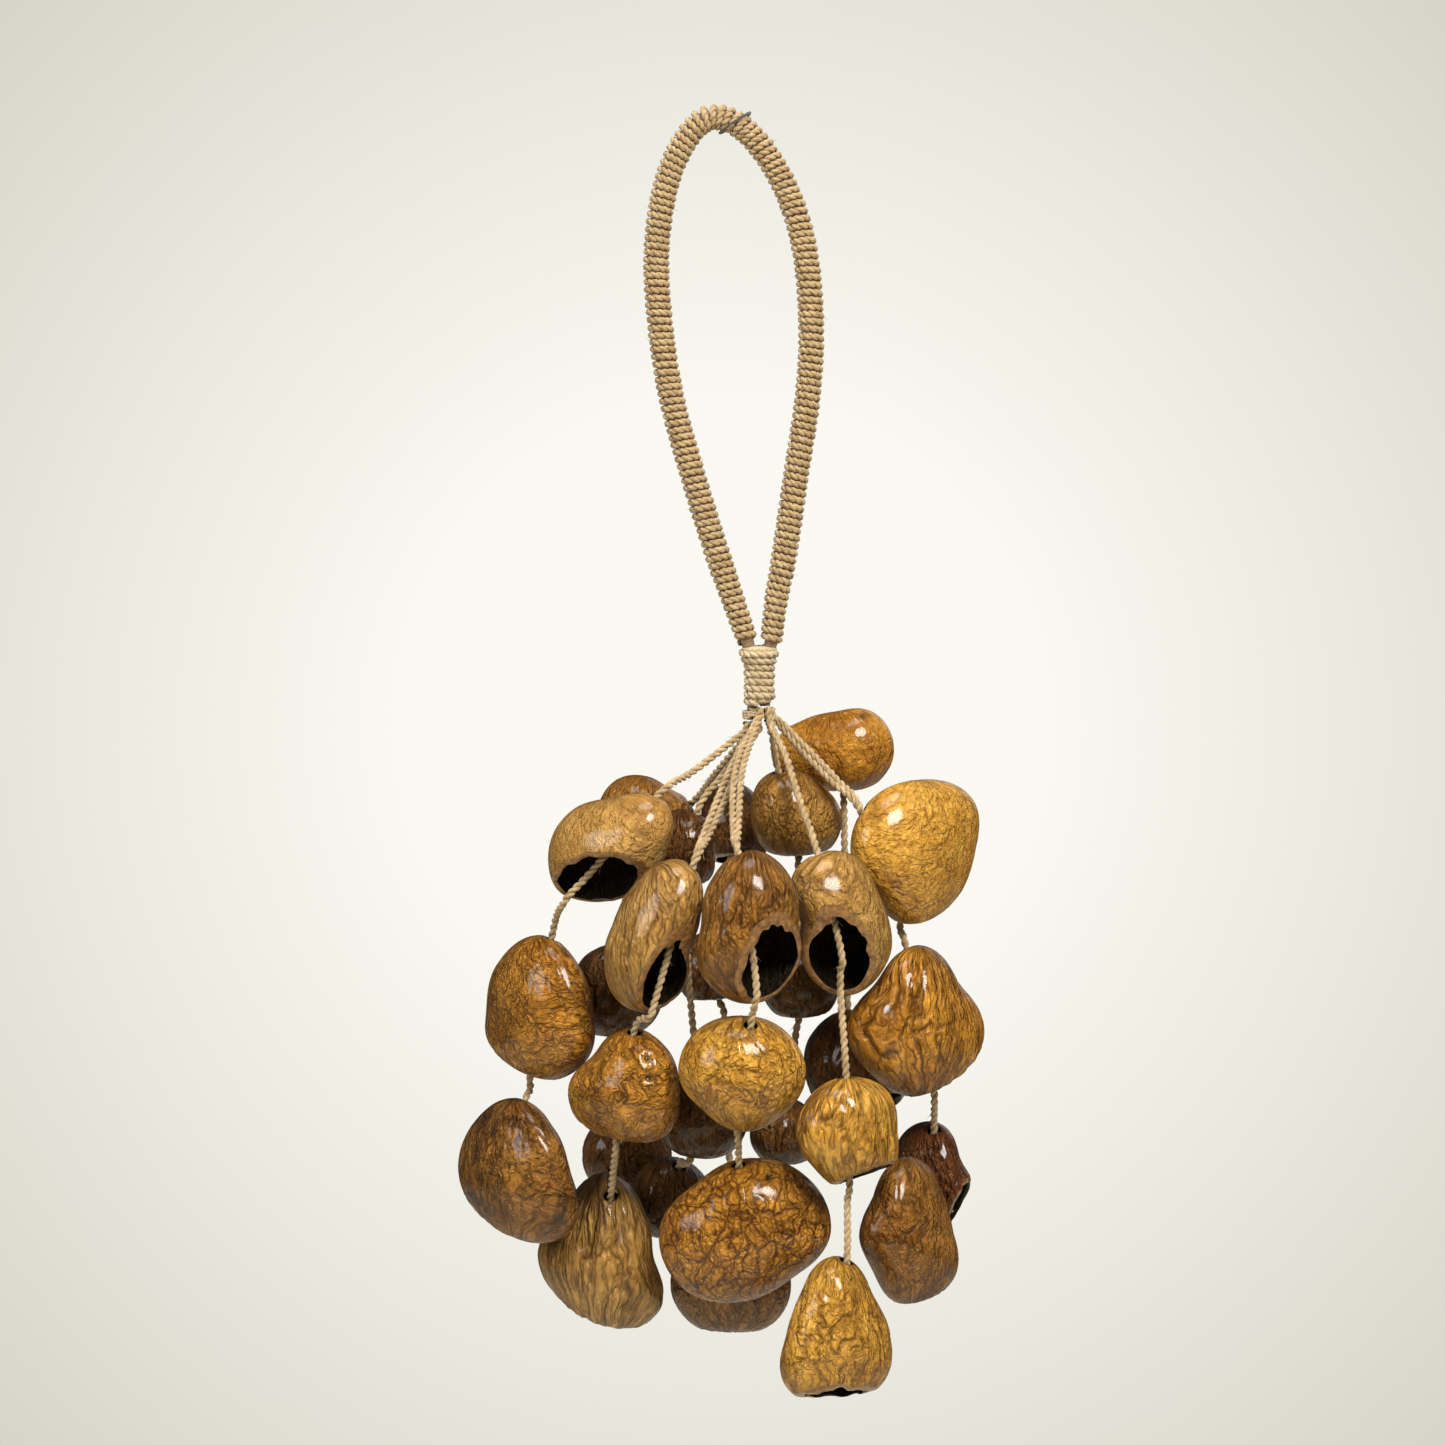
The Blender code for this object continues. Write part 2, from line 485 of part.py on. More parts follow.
# The strands, in millimetres: where each string starts (ring and degrees), the points that it runs
# through on the way to the first shell, and its three shells from the top down
STRANDS = [
    ("tie", 190, [(4.8, -2.4, -163.2), (-6.5, -8.0, -171.8)], [
        Nut("nut_01_upper", (-27.5, -14, -193.3), (14.9, 20.3, 15.5, 16.5, 18.1, 18.5, 14.6, 11.8),
            (52, 0), (-0.22, -0.62, -0.75), 7.5, [(-6, -2, -5.2), (-13, -1, -13)], back=11, tone=TAN),
        Nut("nut_01_middle", (-47.3, -4, -236.0), (15.1, 16.5, 21.0, 17.6, 15.4, 18.9, 19.7, 18.6),
            (81, 0), (-0.1, 0.70, -0.70), 10, [(-2.5, 2.5, -15), (-2.7, 2, -21)]),
        Nut("nut_01_lower", (-53.5, -8, -278.6), (15.4, 15.9, 20.0, 17.6, 16.7, 17.0, 19.7, 21.9),
            (83, 4), (0, 0.70, -0.70), 10),
    ]),
    ("tie", 270, [(7.0, -6.0, -164.5), (2.4, -13.5, -174.2), (-3.6, -24.5, -189.0)], [
        Nut("nut_02_upper", (-16.5, -29, -215.7), (14.0, 23.0, 15.5, 12.2, 14.9, 20.0, 18.4, 10.8),
            (62, 0), (0.54, -0.67, -0.51), 9.5, [(0.9, -4, -14.5), (-1.0, -3.6, -20.4)],
            start=22.5, front=12, back=11, tone=TAN),
        Nut("nut_02_middle", (-24.0, -22, -255.7), (15.1, 16.2, 17.0, 13.0, 16.0, 15.9, 14.9, 17.0),
            (81, -4), (-0.1, 0.60, -0.79), 9, [(-2, 1, -10.5), (-2.7, 1.5, -16.5)], back=11),
        Nut("nut_02_lower", (-30.0, -2, -302.1), (13.8, 16.7, 23.0, 16.7, 18.9, 18.1, 20.8, 21.3),
            (84, -8), (0, 0.70, -0.70), 10),
    ]),
    ("neck", 275, [(10.8, -6.0, -160.0), (7.0, -19.0, -171.2), (5.8, -34.0, -188.0)], [
        Nut("nut_03_upper", (9.2, -39, -211.7), (13.2, 16.5, 20.5, 16.2, 13.8, 18.9, 21.1, 17.8),
            (100, 0), (0.55, -0.74, -0.39), 9.5, [(1.2, -6.0, -13.5), (0.9, -5.6, -20.5)],
            front=12, tone=TAN),
        Nut("nut_03_middle", (6.8, -36, -250.8), (17.6, 16.7, 15.9, 17.0, 17.3, 14.6, 15.9, 15.9),
            (80, -6), (-0.05, 0.70, -0.70), 9.5, [(-0.8, 1.5, -11.5), (-0.9, 2, -17.5)]),
        Nut("nut_03_lower", (7.3, -26, -293.0), (23.8, 22.4, 19.7, 18.5, 23.0, 22.7, 19.4, 18.6),
            (94, -4), (0, 0.80, -0.60), 10, front=14),
    ]),
    ("neck", 315, [(14.9, -3.4, -159.6), (18.6, -8.5, -167.1), (22.6, -17.0, -180.0)], [
        Nut("nut_04_upper", (34.3, -22, -211.1), (12.4, 12.6, 18.9, 19.6, 12.5, 16.7, 20.5, 16.5),
            (112, 0), (0.05, -0.90, -0.43), 10, [(-1.3, -8.3, -7.5), (-1.4, -7, -13), (-1.3, -6.5, -20)],
            back=11, tone=TAN),
        Nut("nut_04_middle", (34.3, -34, -266.2), (14.3, 15.9, 15.1, 14.3, 14.0, 13.2, 15.9, 17.3),
            (90, 0), (0.35, -0.15, -0.92), 12.0, [(0.9, -0.3, -12.6), (0.4, 0.6, -18)], back=11),
        Nut("nut_04_lower", (31.6, -37, -319.1), (14.9, 14.6, 21.1, 14.6, 13.8, 19.4, 19.5, 18.6),
            (82, -2), (0.1, -0.25, -0.96), 15.2, back=11),
    ]),
    ("neck", 25, [(16.9, 1.3, -158.8), (22.9, -1.0, -165.8), (30.8, -4.8, -173.9)], [
        Nut("nut_05_upper", (53.7, -2, -193.6), (17.0, 22.1, 20.3, 19.4, 18.1, 16.7, 21.3, 17.3),
            (142, 0), (-0.1, 0.70, -0.70), 10, [(-4.5, 2.5, -11.5), (-4, 1.5, -20.5)]),
        Nut("nut_05_middle", (54.5, -6, -240.0), (18.4, 16.5, 22.4, 17.3, 20.3, 18.9, 20.3, 20.0),
            (99, 3), (0.1, 0.70, -0.70), 10.5, [(3.5, 3, -12), (4.3, 3.5, -20.5)]),
        Nut("nut_05_lower", (59.9, 7, -281.9), (10.0, 9.2, 15.7, 14.9, 9.2, 9.7, 13.5, 16.7),
            (94, -5), (0.85, -0.20, -0.45), 8.5, front=11, back=11, tone=BROWN),
    ]),
    ("neck", 58, [(14.3, 6.4, -158.6), (15.5, 13.0, -161.2)], [
        Nut("nut_06_upper", (32.9, 18, -166.3), (16.2, 15.4, 11.6, 13.0, 18.4, 14.9, 12.2, 14.3),
            (165, 0), (0.1, 0.50, -0.86), 7.5, [(1, 1.5, -8), (2, 0, -14)], front=12),
        Nut("nut_06_middle", (37.5, 9, -254.3), (12.2, 13.5, 18.4, 16.7, 14.0, 13.5, 16.2, 18.9),
            (95, 3), (0.35, -0.35, -0.87), 10, [(3.5, -2, -9.5), (6, -7, -15)], front=12, tone=BROWN),
        Nut("nut_06_lower", (51.0, -14, -294.8), (13.2, 14.6, 21.1, 14.0, 13.5, 14.0, 20.3, 18.6),
            (100, 5), (0, 0.45, -0.89), 15, back=11),
    ]),
    ("neck", 350, [(15.1, -1.0, -160.5)], [
        Nut("nut_07_upper", (21.9, 2, -183.3), (12.7, 11.1, 12.7, 14.3, 13.0, 13.5, 13.0, 13.5),
            (113, -2), (0, 0.35, -0.94), 9, [(0, 1, -9.2), (0.3, 0.5, -14.5)], front=12, tone=TAN),
        Nut("nut_07_middle", (22.7, 1, -229.2), (11.3, 11.0, 11.6, 11.3, 11.3, 11.0, 11.3, 11.3),
            (92, 0), (0, 0.20, -0.98), 7.5, [(-0.3, 0.8, -7.6), (-1, 1.5, -12.5)], front=12, tone=BROWN),
        Nut("nut_07_lower", (18.6, 4, -269.7), (10.2, 10.0, 10.4, 10.2, 10.2, 10.0, 10.2, 10.2),
            (85, 0), (0, 0.20, -0.98), 7, front=12, tone=BROWN),
    ]),
    ("neck", 92, [(11.0, 5.0, -158.8), (9.6, 9.4, -162.0), (6.8, 18.0, -168.0)], [
        Nut("nut_08_upper", (4.6, 27, -187.8), (9.2, 11.3, 13.5, 11.9, 8.6, 10.8, 12.2, 12.2),
            (95, 0), (0, -0.20, -0.98), 8.5, [(-0.5, -1.5, -8.4), (-1, -3, -13.5)], front=12, tone=BROWN),
        Nut("nut_08_middle", (-0.3, 8, -225.2), (11.3, 11.6, 11.3, 11.0, 11.3, 11.6, 11.3, 11.3),
            (90, 3), (0.1, 0.1, -0.99), 7.5, [(1, 1, -7.6), (2.5, 1.5, -13), (3.3, 1.5, -37)],
            front=12, tone=BROWN),
        Nut("nut_08_lower", (4.0, 9, -311.0), (17.0, 16.2, 13.5, 16.2, 17.0, 15.7, 13.8, 16.2),
            (88, 0), (0, 0.50, -0.87), 10, front=12, tone=BROWN),
    ]),
    ("tie", 10, [(9.0, -0.4, -163.5), (1.5, -1.6, -173.0)], [
        Nut("nut_09_upper", (-8.6, -2, -192.2), (8.4, 10.3, 11.1, 11.3, 10.8, 11.3, 12.2, 11.3),
            (70, -1), (0, 0.30, -0.95), 8.5, [(0.2, 0, -8.8), (0.4, -1.5, -14), (1.1, -4.5, -33)],
            front=11, back=11, tone=BROWN),
        Nut("nut_09_middle", (-4.3, -8, -264.5), (13.5, 13.0, 12.2, 12.2, 11.6, 12.2, 11.6, 13.0),
            (95, 1), (-0.2, 0.60, -0.77), 8.0, [(-2, 2.6, -9.0), (-4.5, 7.5, -13)], front=12, tone=BROWN),
        Nut("nut_09_lower", (-12.6, 14, -288.5), (12.2, 12.0, 12.4, 12.2, 12.2, 12.0, 12.2, 12.2),
            (75, -6), (0, 0.30, -0.95), 8.5, front=12, tone=BROWN),
    ]),
    ("tie", 100, [(6.6, 6.0, -164.0), (0.0, 14.5, -172.0)], [
        Nut("nut_10_upper", (-19.2, 26, -183.3), (14.0, 10.0, 10.8, 13.0, 14.0, 13.5, 12.2, 14.9),
            (13, 0), (-0.2, 0.20, -0.96), 9, [(-1, 1, -9), (-2.5, -2, -14.5)], front=12),
        Nut("nut_10_middle", (-27.3, 10, -231.9), (13.5, 13.2, 14.0, 13.6, 12.2, 13.5, 13.2, 13.5),
            (92, 4), (0, 0.40, -0.92), 9.5, [(0, 2, -9.5), (0.5, 6, -15)], front=12, tone=BROWN),
        Nut("nut_10_lower", (-24.6, 31, -277.8), (13.0, 12.8, 13.2, 13.0, 13.0, 12.8, 13.0, 13.0),
            (92, -5), (0, 0.30, -0.95), 8.5, front=12, tone=BROWN),
    ]),
]


def string_top(ring, degrees):
    """The top of a string: on the ring under the neck or on the one under the tie."""
    x, reach, under = {
        "neck": (NECK_X, NECK_RING, NECK_BOTTOM_Z),
        "tie": (TIE_X, TIE_RING, TIE_BOTTOM_Z),
    }[ring]
    angle = math.radians(degrees)
    return Vector((x + reach * math.cos(angle), reach * math.sin(angle), under - STRING_TOP_GAP))


def string_and_holes(top, way, nuts):
    """The string's tube points and radii, and where it runs straight through each shell's hole."""
    keys = [top, top - Vector((0.0, 0.0, STRAIGHT_BELOW_NECK))]
    keys += [BUNCH + Vector(mm(*point)) for point in way]
    entries = []
    for nut in nuts:
        entries.append(len(keys))
        keys.append(nut.entry())
        keys += [nut.middle + point for point in nut.leave]
    last = nuts[-1]
    inward = (last.middle - keys[-1]).normalized()
    keys.append(keys[-1] + inward * STRING_END)
    steps = 16
    line = smooth(keys, steps)
    along = lengths(line)
    holes = [along[i * steps] for i in entries]
    half = KNOT_LENGTH / 2
    into, inside = [], []
    marks = [(0.0, 0.0), (STRAIGHT_BELOW_NECK, 0.0)]
    for hole, nut in zip(holes, nuts):
        before, knot = hole - STRAIGHT_BEFORE_HOLE, nut.knot_place(line, along, hole)
        inside.append((before, knot + half))
        into.append((at_length(line, along, before), at_length(line, along, knot - half)))
        marks += [(before, 0.0), (knot - half, 0.0), (knot - 0.5 * half, 1.0), (knot + 0.5 * half, 1.0)]
        if hole < holes[-1]:
            marks.append((knot + half, 0.0))
    for distance in spread(along[-1], STRING_STEP):
        free = all(d - STRING_STEP / 2 > distance or distance > d + STRING_STEP / 2 for d, _ in marks)
        crossing = any(start < distance < end for start, end in inside)
        if free and not crossing and distance < holes[-1]:
            marks.append((distance, 0.0))
    marks.sort()
    points, radii = [], []
    for distance, knot in marks:
        share = min(distance / STRING_TOP_TAPER, 1.0)
        cord = STRING_TOP_RADIUS + (STRING_RADIUS - STRING_TOP_RADIUS) * share
        points.append(at_length(line, along, distance))
        radii.append(cord + (KNOT_RADIUS - cord) * knot)
    return points, radii, into


def strand(number, ring, degrees, way, nuts):
    """One string and its three shells, carried by an empty at the string's top."""
    top = string_top(ring, degrees)
    for nut in nuts:
        nut.hollow = place(nut.skin(nut.name + "_hollow", SHELL_WALL, HOLLOW_SEGMENTS), CUTTERS)
    points, radii, into = string_and_holes(top, way, nuts)
    pivot = bpy.data.objects.new(f"strand_{number:02d}_pivot", None)
    pivot.location = top
    bpy.data.collections[PARTS].objects.link(pivot)
    pieces = [place(tube(f"string_{number:02d}", points, radii), PARTS, STRAW, 0.8)]
    for nut, way_in in zip(nuts, into):
        pieces.append(nut.build(*way_in))
    for piece in pieces:
        piece.parent = pivot
        piece.matrix_parent_inverse = Matrix.Translation(-top)


def main():
    clear_scene()
    collection(PARTS)
    collection(CUTTERS)
    handle_core()
    handle_wrapping()
    neck_binding()
    neck_tie()
    hang_thread()
    for number, (ring, degrees, way, nuts) in enumerate(STRANDS, 1):
        strand(number, ring, degrees, way, nuts)


main()
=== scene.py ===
import math
import random

import bpy
import numpy as np
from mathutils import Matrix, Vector, noise


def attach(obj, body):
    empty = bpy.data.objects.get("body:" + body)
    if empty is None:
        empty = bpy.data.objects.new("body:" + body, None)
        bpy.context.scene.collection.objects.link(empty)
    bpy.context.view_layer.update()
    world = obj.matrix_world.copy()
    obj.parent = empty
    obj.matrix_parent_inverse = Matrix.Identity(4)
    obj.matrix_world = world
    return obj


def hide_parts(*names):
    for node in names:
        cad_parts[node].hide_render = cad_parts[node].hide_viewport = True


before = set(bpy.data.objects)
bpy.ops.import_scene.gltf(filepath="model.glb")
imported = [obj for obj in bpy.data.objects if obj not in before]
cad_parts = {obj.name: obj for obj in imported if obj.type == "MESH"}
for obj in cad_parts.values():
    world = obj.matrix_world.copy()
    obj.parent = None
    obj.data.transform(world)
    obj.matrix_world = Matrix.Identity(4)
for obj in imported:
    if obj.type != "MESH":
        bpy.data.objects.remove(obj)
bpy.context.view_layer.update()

# Sizes of the solids, repeated from the part's source (metres)
CORE_RADIUS = 0.0024
CORE_GAP = 0.0003
WRAP_WALL = 0.0006
WRAP_RIDGE = 0.0004
WRAP_PITCH = 0.0020
CROTCH_Z = -0.1370
TAPER_START_Z = -0.1150
CROTCH_SCALE = 0.74
NECK_X = 0.0117
NECK_TOP_Z = -0.1374
NECK_WAIST_Z = -0.1432
NECK_BOTTOM_Z = -0.1540
NECK_TOP_RADIUS = 0.0064
NECK_RADIUS = 0.0044
TIE_X = 0.0098
TIE_CORD_RADIUS = 0.00055
TIE_RADIUS = 0.0028
TIE_TURNS = 3
TIE_GAP = 0.0004
TIE_TOP_Z = NECK_BOTTOM_Z - TIE_GAP
TIE_BOTTOM_Z = TIE_TOP_Z - 2.0 * TIE_TURNS * TIE_CORD_RADIUS
STRING_RADIUS = 0.00105
STRING_TOP_GAP = 0.0006
STRAIGHT_BELOW_NECK = 0.0020
STRING_END = 0.0140
NECK_RING = 0.00345
TIE_RING = 0.00175
SHELL_WALL = 0.0018
BUNDLE_X = 0.0050
REAR_Y = 0.0050
MM = 0.001

# How a shell leans back with its distance from the bunch's middle, and the share of it in the rear row
LEAN_PER_METRE = 9.0
REAR_LEAN = 0.6

# The middle line of the loop, as x and z (metres)

LOOP = [
    (0.0084, -0.1362),
    (0.0052, -0.1270),
    (0.0001, -0.1121),
    (-0.0063, -0.0915),
    (-0.0120, -0.0707),
    (-0.0152, -0.0497),
    (-0.0160, -0.0300),
    (-0.0127, -0.0105),
    (-0.0052, 0.0028),
    (0.0026, 0.0046),
    (0.0110, -0.0017),
    (0.0190, -0.0146),
    (0.0240, -0.0311),
    (0.0257, -0.0518),
    (0.0247, -0.0707),
    (0.0216, -0.0915),
    (0.0186, -0.1121),
    (0.0160, -0.1270),
    (0.0150, -0.1362),
]

# Names of the shells' tones
GOLD, TAN, BROWN = "golden_shell", "tan_shell", "brown_shell"


def mm(*values):
    """Millimetres as metres."""
    return [value * MM for value in values]


class Nut:
    """One shell: its middle, outline, string hole and ground mouth, with the numbers of its solid."""

    def __init__(self, name, middle, radii, hole, mouth, cut, leave=(), start=0.0,
                 front=13.0, back=12.0, tone=GOLD):
        self.name = name
        self.middle = Vector(mm(*middle))
        self.radii = np.array(mm(*radii))
        self.start = math.radians(start)
        self.front, self.back = mm(front, back)
        self.hole = (math.radians(hole[0]), hole[1] * MM)
        self.mouth = Vector(mouth).normalized()
        self.cut = cut * MM
        self.leave = [Vector(mm(*point)) for point in leave]
        self.slot = tone
        facing = 1.0 if self.middle.y < REAR_Y else -REAR_LEAN
        self.lean = facing * LEAN_PER_METRE * (self.middle.x - BUNDLE_X)

    def radius(self, angle):
        """The outline's radius at each angle."""
        count = len(self.radii)
        u = ((np.asarray(angle) - self.start) / math.tau * count) % count
        i = np.floor(u).astype(int)
        t = u - i
        p = [self.radii[(i + k) % count] for k in (-1, 0, 1, 2)]
        return 0.5 * (
            2.0 * p[1]
            + (p[2] - p[0]) * t
            + (2.0 * p[0] - 5.0 * p[1] + 4.0 * p[2] - p[3]) * t * t
            + (3.0 * p[1] - p[0] - 3.0 * p[2] + p[3]) * t * t * t
        )

    def entry(self):
        """Where the string goes in."""
        angle, behind = self.hole
        depth = self.front if behind < 0.0 else self.back
        reach = float(self.radius(angle)) * math.sqrt(max(1.0 - (behind / depth) ** 2, 0.0))
        x = reach * math.cos(angle)
        return self.middle + Vector((x, behind + self.lean * x, reach * math.sin(angle)))

    def skin(self, ways, wall):
        """Points of the skin in the directions given, measured from the middle."""
        across, behind, up = ways[..., 0], ways[..., 1], ways[..., 2]
        angle = np.arctan2(up, across)
        reach = (self.radius(angle) - wall) * np.hypot(across, up)
        depth = np.where(behind < 0.0, self.front, self.back) - wall
        x = reach * np.cos(angle)
        return np.stack([x, self.lean * x + depth * behind, reach * np.sin(angle)], axis=-1)


# The strands, in millimetres, as the solids have them: where each leaves the neck, its direction there
# in degrees, the points of its way to the first shell, and its shells
STRANDS = [
    ("tie", 190, [(4.8, -2.4, -163.2), (-6.5, -8.0, -171.8)], [
        Nut("nut_01_upper", (-27.5, -14, -193.3), (14.9, 20.3, 15.5, 16.5, 18.1, 18.5, 14.6, 11.8),
            (52, 0), (-0.22, -0.62, -0.75), 7.5, [(-6, -2, -5.2), (-13, -1, -13)], back=11, tone=TAN),
        Nut("nut_01_middle", (-47.3, -4, -236.0), (15.1, 16.5, 21.0, 17.6, 15.4, 18.9, 19.7, 18.6),
            (81, 0), (-0.1, 0.70, -0.70), 10, [(-2.5, 2.5, -15), (-2.7, 2, -21)]),
        Nut("nut_01_lower", (-53.5, -8, -278.6), (15.4, 15.9, 20.0, 17.6, 16.7, 17.0, 19.7, 21.9),
            (83, 4), (0, 0.70, -0.70), 10),
    ]),
    ("tie", 270, [(7.0, -6.0, -164.5), (2.4, -13.5, -174.2), (-3.6, -24.5, -189.0)], [
        Nut("nut_02_upper", (-16.5, -29, -215.7), (14.0, 23.0, 15.5, 12.2, 14.9, 20.0, 18.4, 10.8),
            (62, 0), (0.54, -0.67, -0.51), 9.5, [(0.9, -4, -14.5), (-1.0, -3.6, -20.4)],
            start=22.5, front=12, back=11, tone=TAN),
        Nut("nut_02_middle", (-24.0, -22, -255.7), (15.1, 16.2, 17.0, 13.0, 16.0, 15.9, 14.9, 17.0),
            (81, -4), (-0.1, 0.60, -0.79), 9, [(-2, 1, -10.5), (-2.7, 1.5, -16.5)], back=11),
        Nut("nut_02_lower", (-30.0, -2, -302.1), (13.8, 16.7, 23.0, 16.7, 18.9, 18.1, 20.8, 21.3),
            (84, -8), (0, 0.70, -0.70), 10),
    ]),
    ("neck", 275, [(10.8, -6.0, -160.0), (7.0, -19.0, -171.2), (5.8, -34.0, -188.0)], [
        Nut("nut_03_upper", (9.2, -39, -211.7), (13.2, 16.5, 20.5, 16.2, 13.8, 18.9, 21.1, 17.8),
            (100, 0), (0.55, -0.74, -0.39), 9.5, [(1.2, -6.0, -13.5), (0.9, -5.6, -20.5)],
            front=12, tone=TAN),
        Nut("nut_03_middle", (6.8, -36, -250.8), (17.6, 16.7, 15.9, 17.0, 17.3, 14.6, 15.9, 15.9),
            (80, -6), (-0.05, 0.70, -0.70), 9.5, [(-0.8, 1.5, -11.5), (-0.9, 2, -17.5)]),
        Nut("nut_03_lower", (7.3, -26, -293.0), (23.8, 22.4, 19.7, 18.5, 23.0, 22.7, 19.4, 18.6),
            (94, -4), (0, 0.80, -0.60), 10, front=14),
    ]),
    ("neck", 315, [(14.9, -3.4, -159.6), (18.6, -8.5, -167.1), (22.6, -17.0, -180.0)], [
        Nut("nut_04_upper", (34.3, -22, -211.1), (12.4, 12.6, 18.9, 19.6, 12.5, 16.7, 20.5, 16.5),
            (112, 0), (0.05, -0.90, -0.43), 10, [(-1.3, -8.3, -7.5), (-1.4, -7, -13), (-1.3, -6.5, -20)],
            back=11, tone=TAN),
        Nut("nut_04_middle", (34.3, -34, -266.2), (14.3, 15.9, 15.1, 14.3, 14.0, 13.2, 15.9, 17.3),
            (90, 0), (0.35, -0.15, -0.92), 12.0, [(0.9, -0.3, -12.6), (0.4, 0.6, -18)], back=11),
        Nut("nut_04_lower", (31.6, -37, -319.1), (14.9, 14.6, 21.1, 14.6, 13.8, 19.4, 19.5, 18.6),
            (82, -2), (0.1, -0.25, -0.96), 15.2, back=11),
    ]),
    ("neck", 25, [(16.9, 1.3, -158.8), (22.9, -1.0, -165.8), (30.8, -4.8, -173.9)], [
        Nut("nut_05_upper", (53.7, -2, -193.6), (17.0, 22.1, 20.3, 19.4, 18.1, 16.7, 21.3, 17.3),
            (142, 0), (-0.1, 0.70, -0.70), 10, [(-4.5, 2.5, -11.5), (-4, 1.5, -20.5)]),
        Nut("nut_05_middle", (54.5, -6, -240.0), (18.4, 16.5, 22.4, 17.3, 20.3, 18.9, 20.3, 20.0),
            (99, 3), (0.1, 0.70, -0.70), 10.5, [(3.5, 3, -12), (4.3, 3.5, -20.5)]),
        Nut("nut_05_lower", (59.9, 7, -281.9), (10.0, 9.2, 15.7, 14.9, 9.2, 9.7, 13.5, 16.7),
            (94, -5), (0.85, -0.20, -0.45), 8.5, front=11, back=11, tone=BROWN),
    ]),
    ("neck", 58, [(14.3, 6.4, -158.6), (15.5, 13.0, -161.2)], [
        Nut("nut_06_upper", (32.9, 18, -166.3), (16.2, 15.4, 11.6, 13.0, 18.4, 14.9, 12.2, 14.3),
            (165, 0), (0.1, 0.50, -0.86), 7.5, [(1, 1.5, -8), (2, 0, -14)], front=12),
        Nut("nut_06_middle", (37.5, 9, -254.3), (12.2, 13.5, 18.4, 16.7, 14.0, 13.5, 16.2, 18.9),
            (95, 3), (0.35, -0.35, -0.87), 10, [(3.5, -2, -9.5), (6, -7, -15)], front=12, tone=BROWN),
        Nut("nut_06_lower", (51.0, -14, -294.8), (13.2, 14.6, 21.1, 14.0, 13.5, 14.0, 20.3, 18.6),
            (100, 5), (0, 0.45, -0.89), 15, back=11),
    ]),
    ("neck", 350, [(15.1, -1.0, -160.5)], [
        Nut("nut_07_upper", (21.9, 2, -183.3), (12.7, 11.1, 12.7, 14.3, 13.0, 13.5, 13.0, 13.5),
            (113, -2), (0, 0.35, -0.94), 9, [(0, 1, -9.2), (0.3, 0.5, -14.5)], front=12, tone=TAN),
        Nut("nut_07_middle", (22.7, 1, -229.2), (11.3, 11.0, 11.6, 11.3, 11.3, 11.0, 11.3, 11.3),
            (92, 0), (0, 0.20, -0.98), 7.5, [(-0.3, 0.8, -7.6), (-1, 1.5, -12.5)], front=12, tone=BROWN),
        Nut("nut_07_lower", (18.6, 4, -269.7), (10.2, 10.0, 10.4, 10.2, 10.2, 10.0, 10.2, 10.2),
            (85, 0), (0, 0.20, -0.98), 7, front=12, tone=BROWN),
    ]),
    ("neck", 92, [(11.0, 5.0, -158.8), (9.6, 9.4, -162.0), (6.8, 18.0, -168.0)], [
        Nut("nut_08_upper", (4.6, 27, -187.8), (9.2, 11.3, 13.5, 11.9, 8.6, 10.8, 12.2, 12.2),
            (95, 0), (0, -0.20, -0.98), 8.5, [(-0.5, -1.5, -8.4), (-1, -3, -13.5)], front=12, tone=BROWN),
        Nut("nut_08_middle", (-0.3, 8, -225.2), (11.3, 11.6, 11.3, 11.0, 11.3, 11.6, 11.3, 11.3),
            (90, 3), (0.1, 0.1, -0.99), 7.5, [(1, 1, -7.6), (2.5, 1.5, -13), (3.3, 1.5, -37)],
            front=12, tone=BROWN),
        Nut("nut_08_lower", (4.0, 9, -311.0), (17.0, 16.2, 13.5, 16.2, 17.0, 15.7, 13.8, 16.2),
            (88, 0), (0, 0.50, -0.87), 10, front=12, tone=BROWN),
    ]),
    ("tie", 10, [(9.0, -0.4, -163.5), (1.5, -1.6, -173.0)], [
        Nut("nut_09_upper", (-8.6, -2, -192.2), (8.4, 10.3, 11.1, 11.3, 10.8, 11.3, 12.2, 11.3),
            (70, -1), (0, 0.30, -0.95), 8.5, [(0.2, 0, -8.8), (0.4, -1.5, -14), (1.1, -4.5, -33)],
            front=11, back=11, tone=BROWN),
        Nut("nut_09_middle", (-4.3, -8, -264.5), (13.5, 13.0, 12.2, 12.2, 11.6, 12.2, 11.6, 13.0),
            (95, 1), (-0.2, 0.60, -0.77), 8.0, [(-2, 2.6, -9.0), (-4.5, 7.5, -13)], front=12, tone=BROWN),
        Nut("nut_09_lower", (-12.6, 14, -288.5), (12.2, 12.0, 12.4, 12.2, 12.2, 12.0, 12.2, 12.2),
            (75, -6), (0, 0.30, -0.95), 8.5, front=12, tone=BROWN),
    ]),
    ("tie", 100, [(6.6, 6.0, -164.0), (0.0, 14.5, -172.0)], [
        Nut("nut_10_upper", (-19.2, 26, -183.3), (14.0, 10.0, 10.8, 13.0, 14.0, 13.5, 12.2, 14.9),
            (13, 0), (-0.2, 0.20, -0.96), 9, [(-1, 1, -9), (-2.5, -2, -14.5)], front=12),
        Nut("nut_10_middle", (-27.3, 10, -231.9), (13.5, 13.2, 14.0, 13.6, 12.2, 13.5, 13.2, 13.5),
            (92, 4), (0, 0.40, -0.92), 9.5, [(0, 2, -9.5), (0.5, 6, -15)], front=12, tone=BROWN),
        Nut("nut_10_lower", (-24.6, 31, -277.8), (13.0, 12.8, 13.2, 13.0, 13.0, 12.8, 13.0, 13.0),
            (92, -5), (0, 0.30, -0.95), 8.5, front=12, tone=BROWN),
    ]),
]


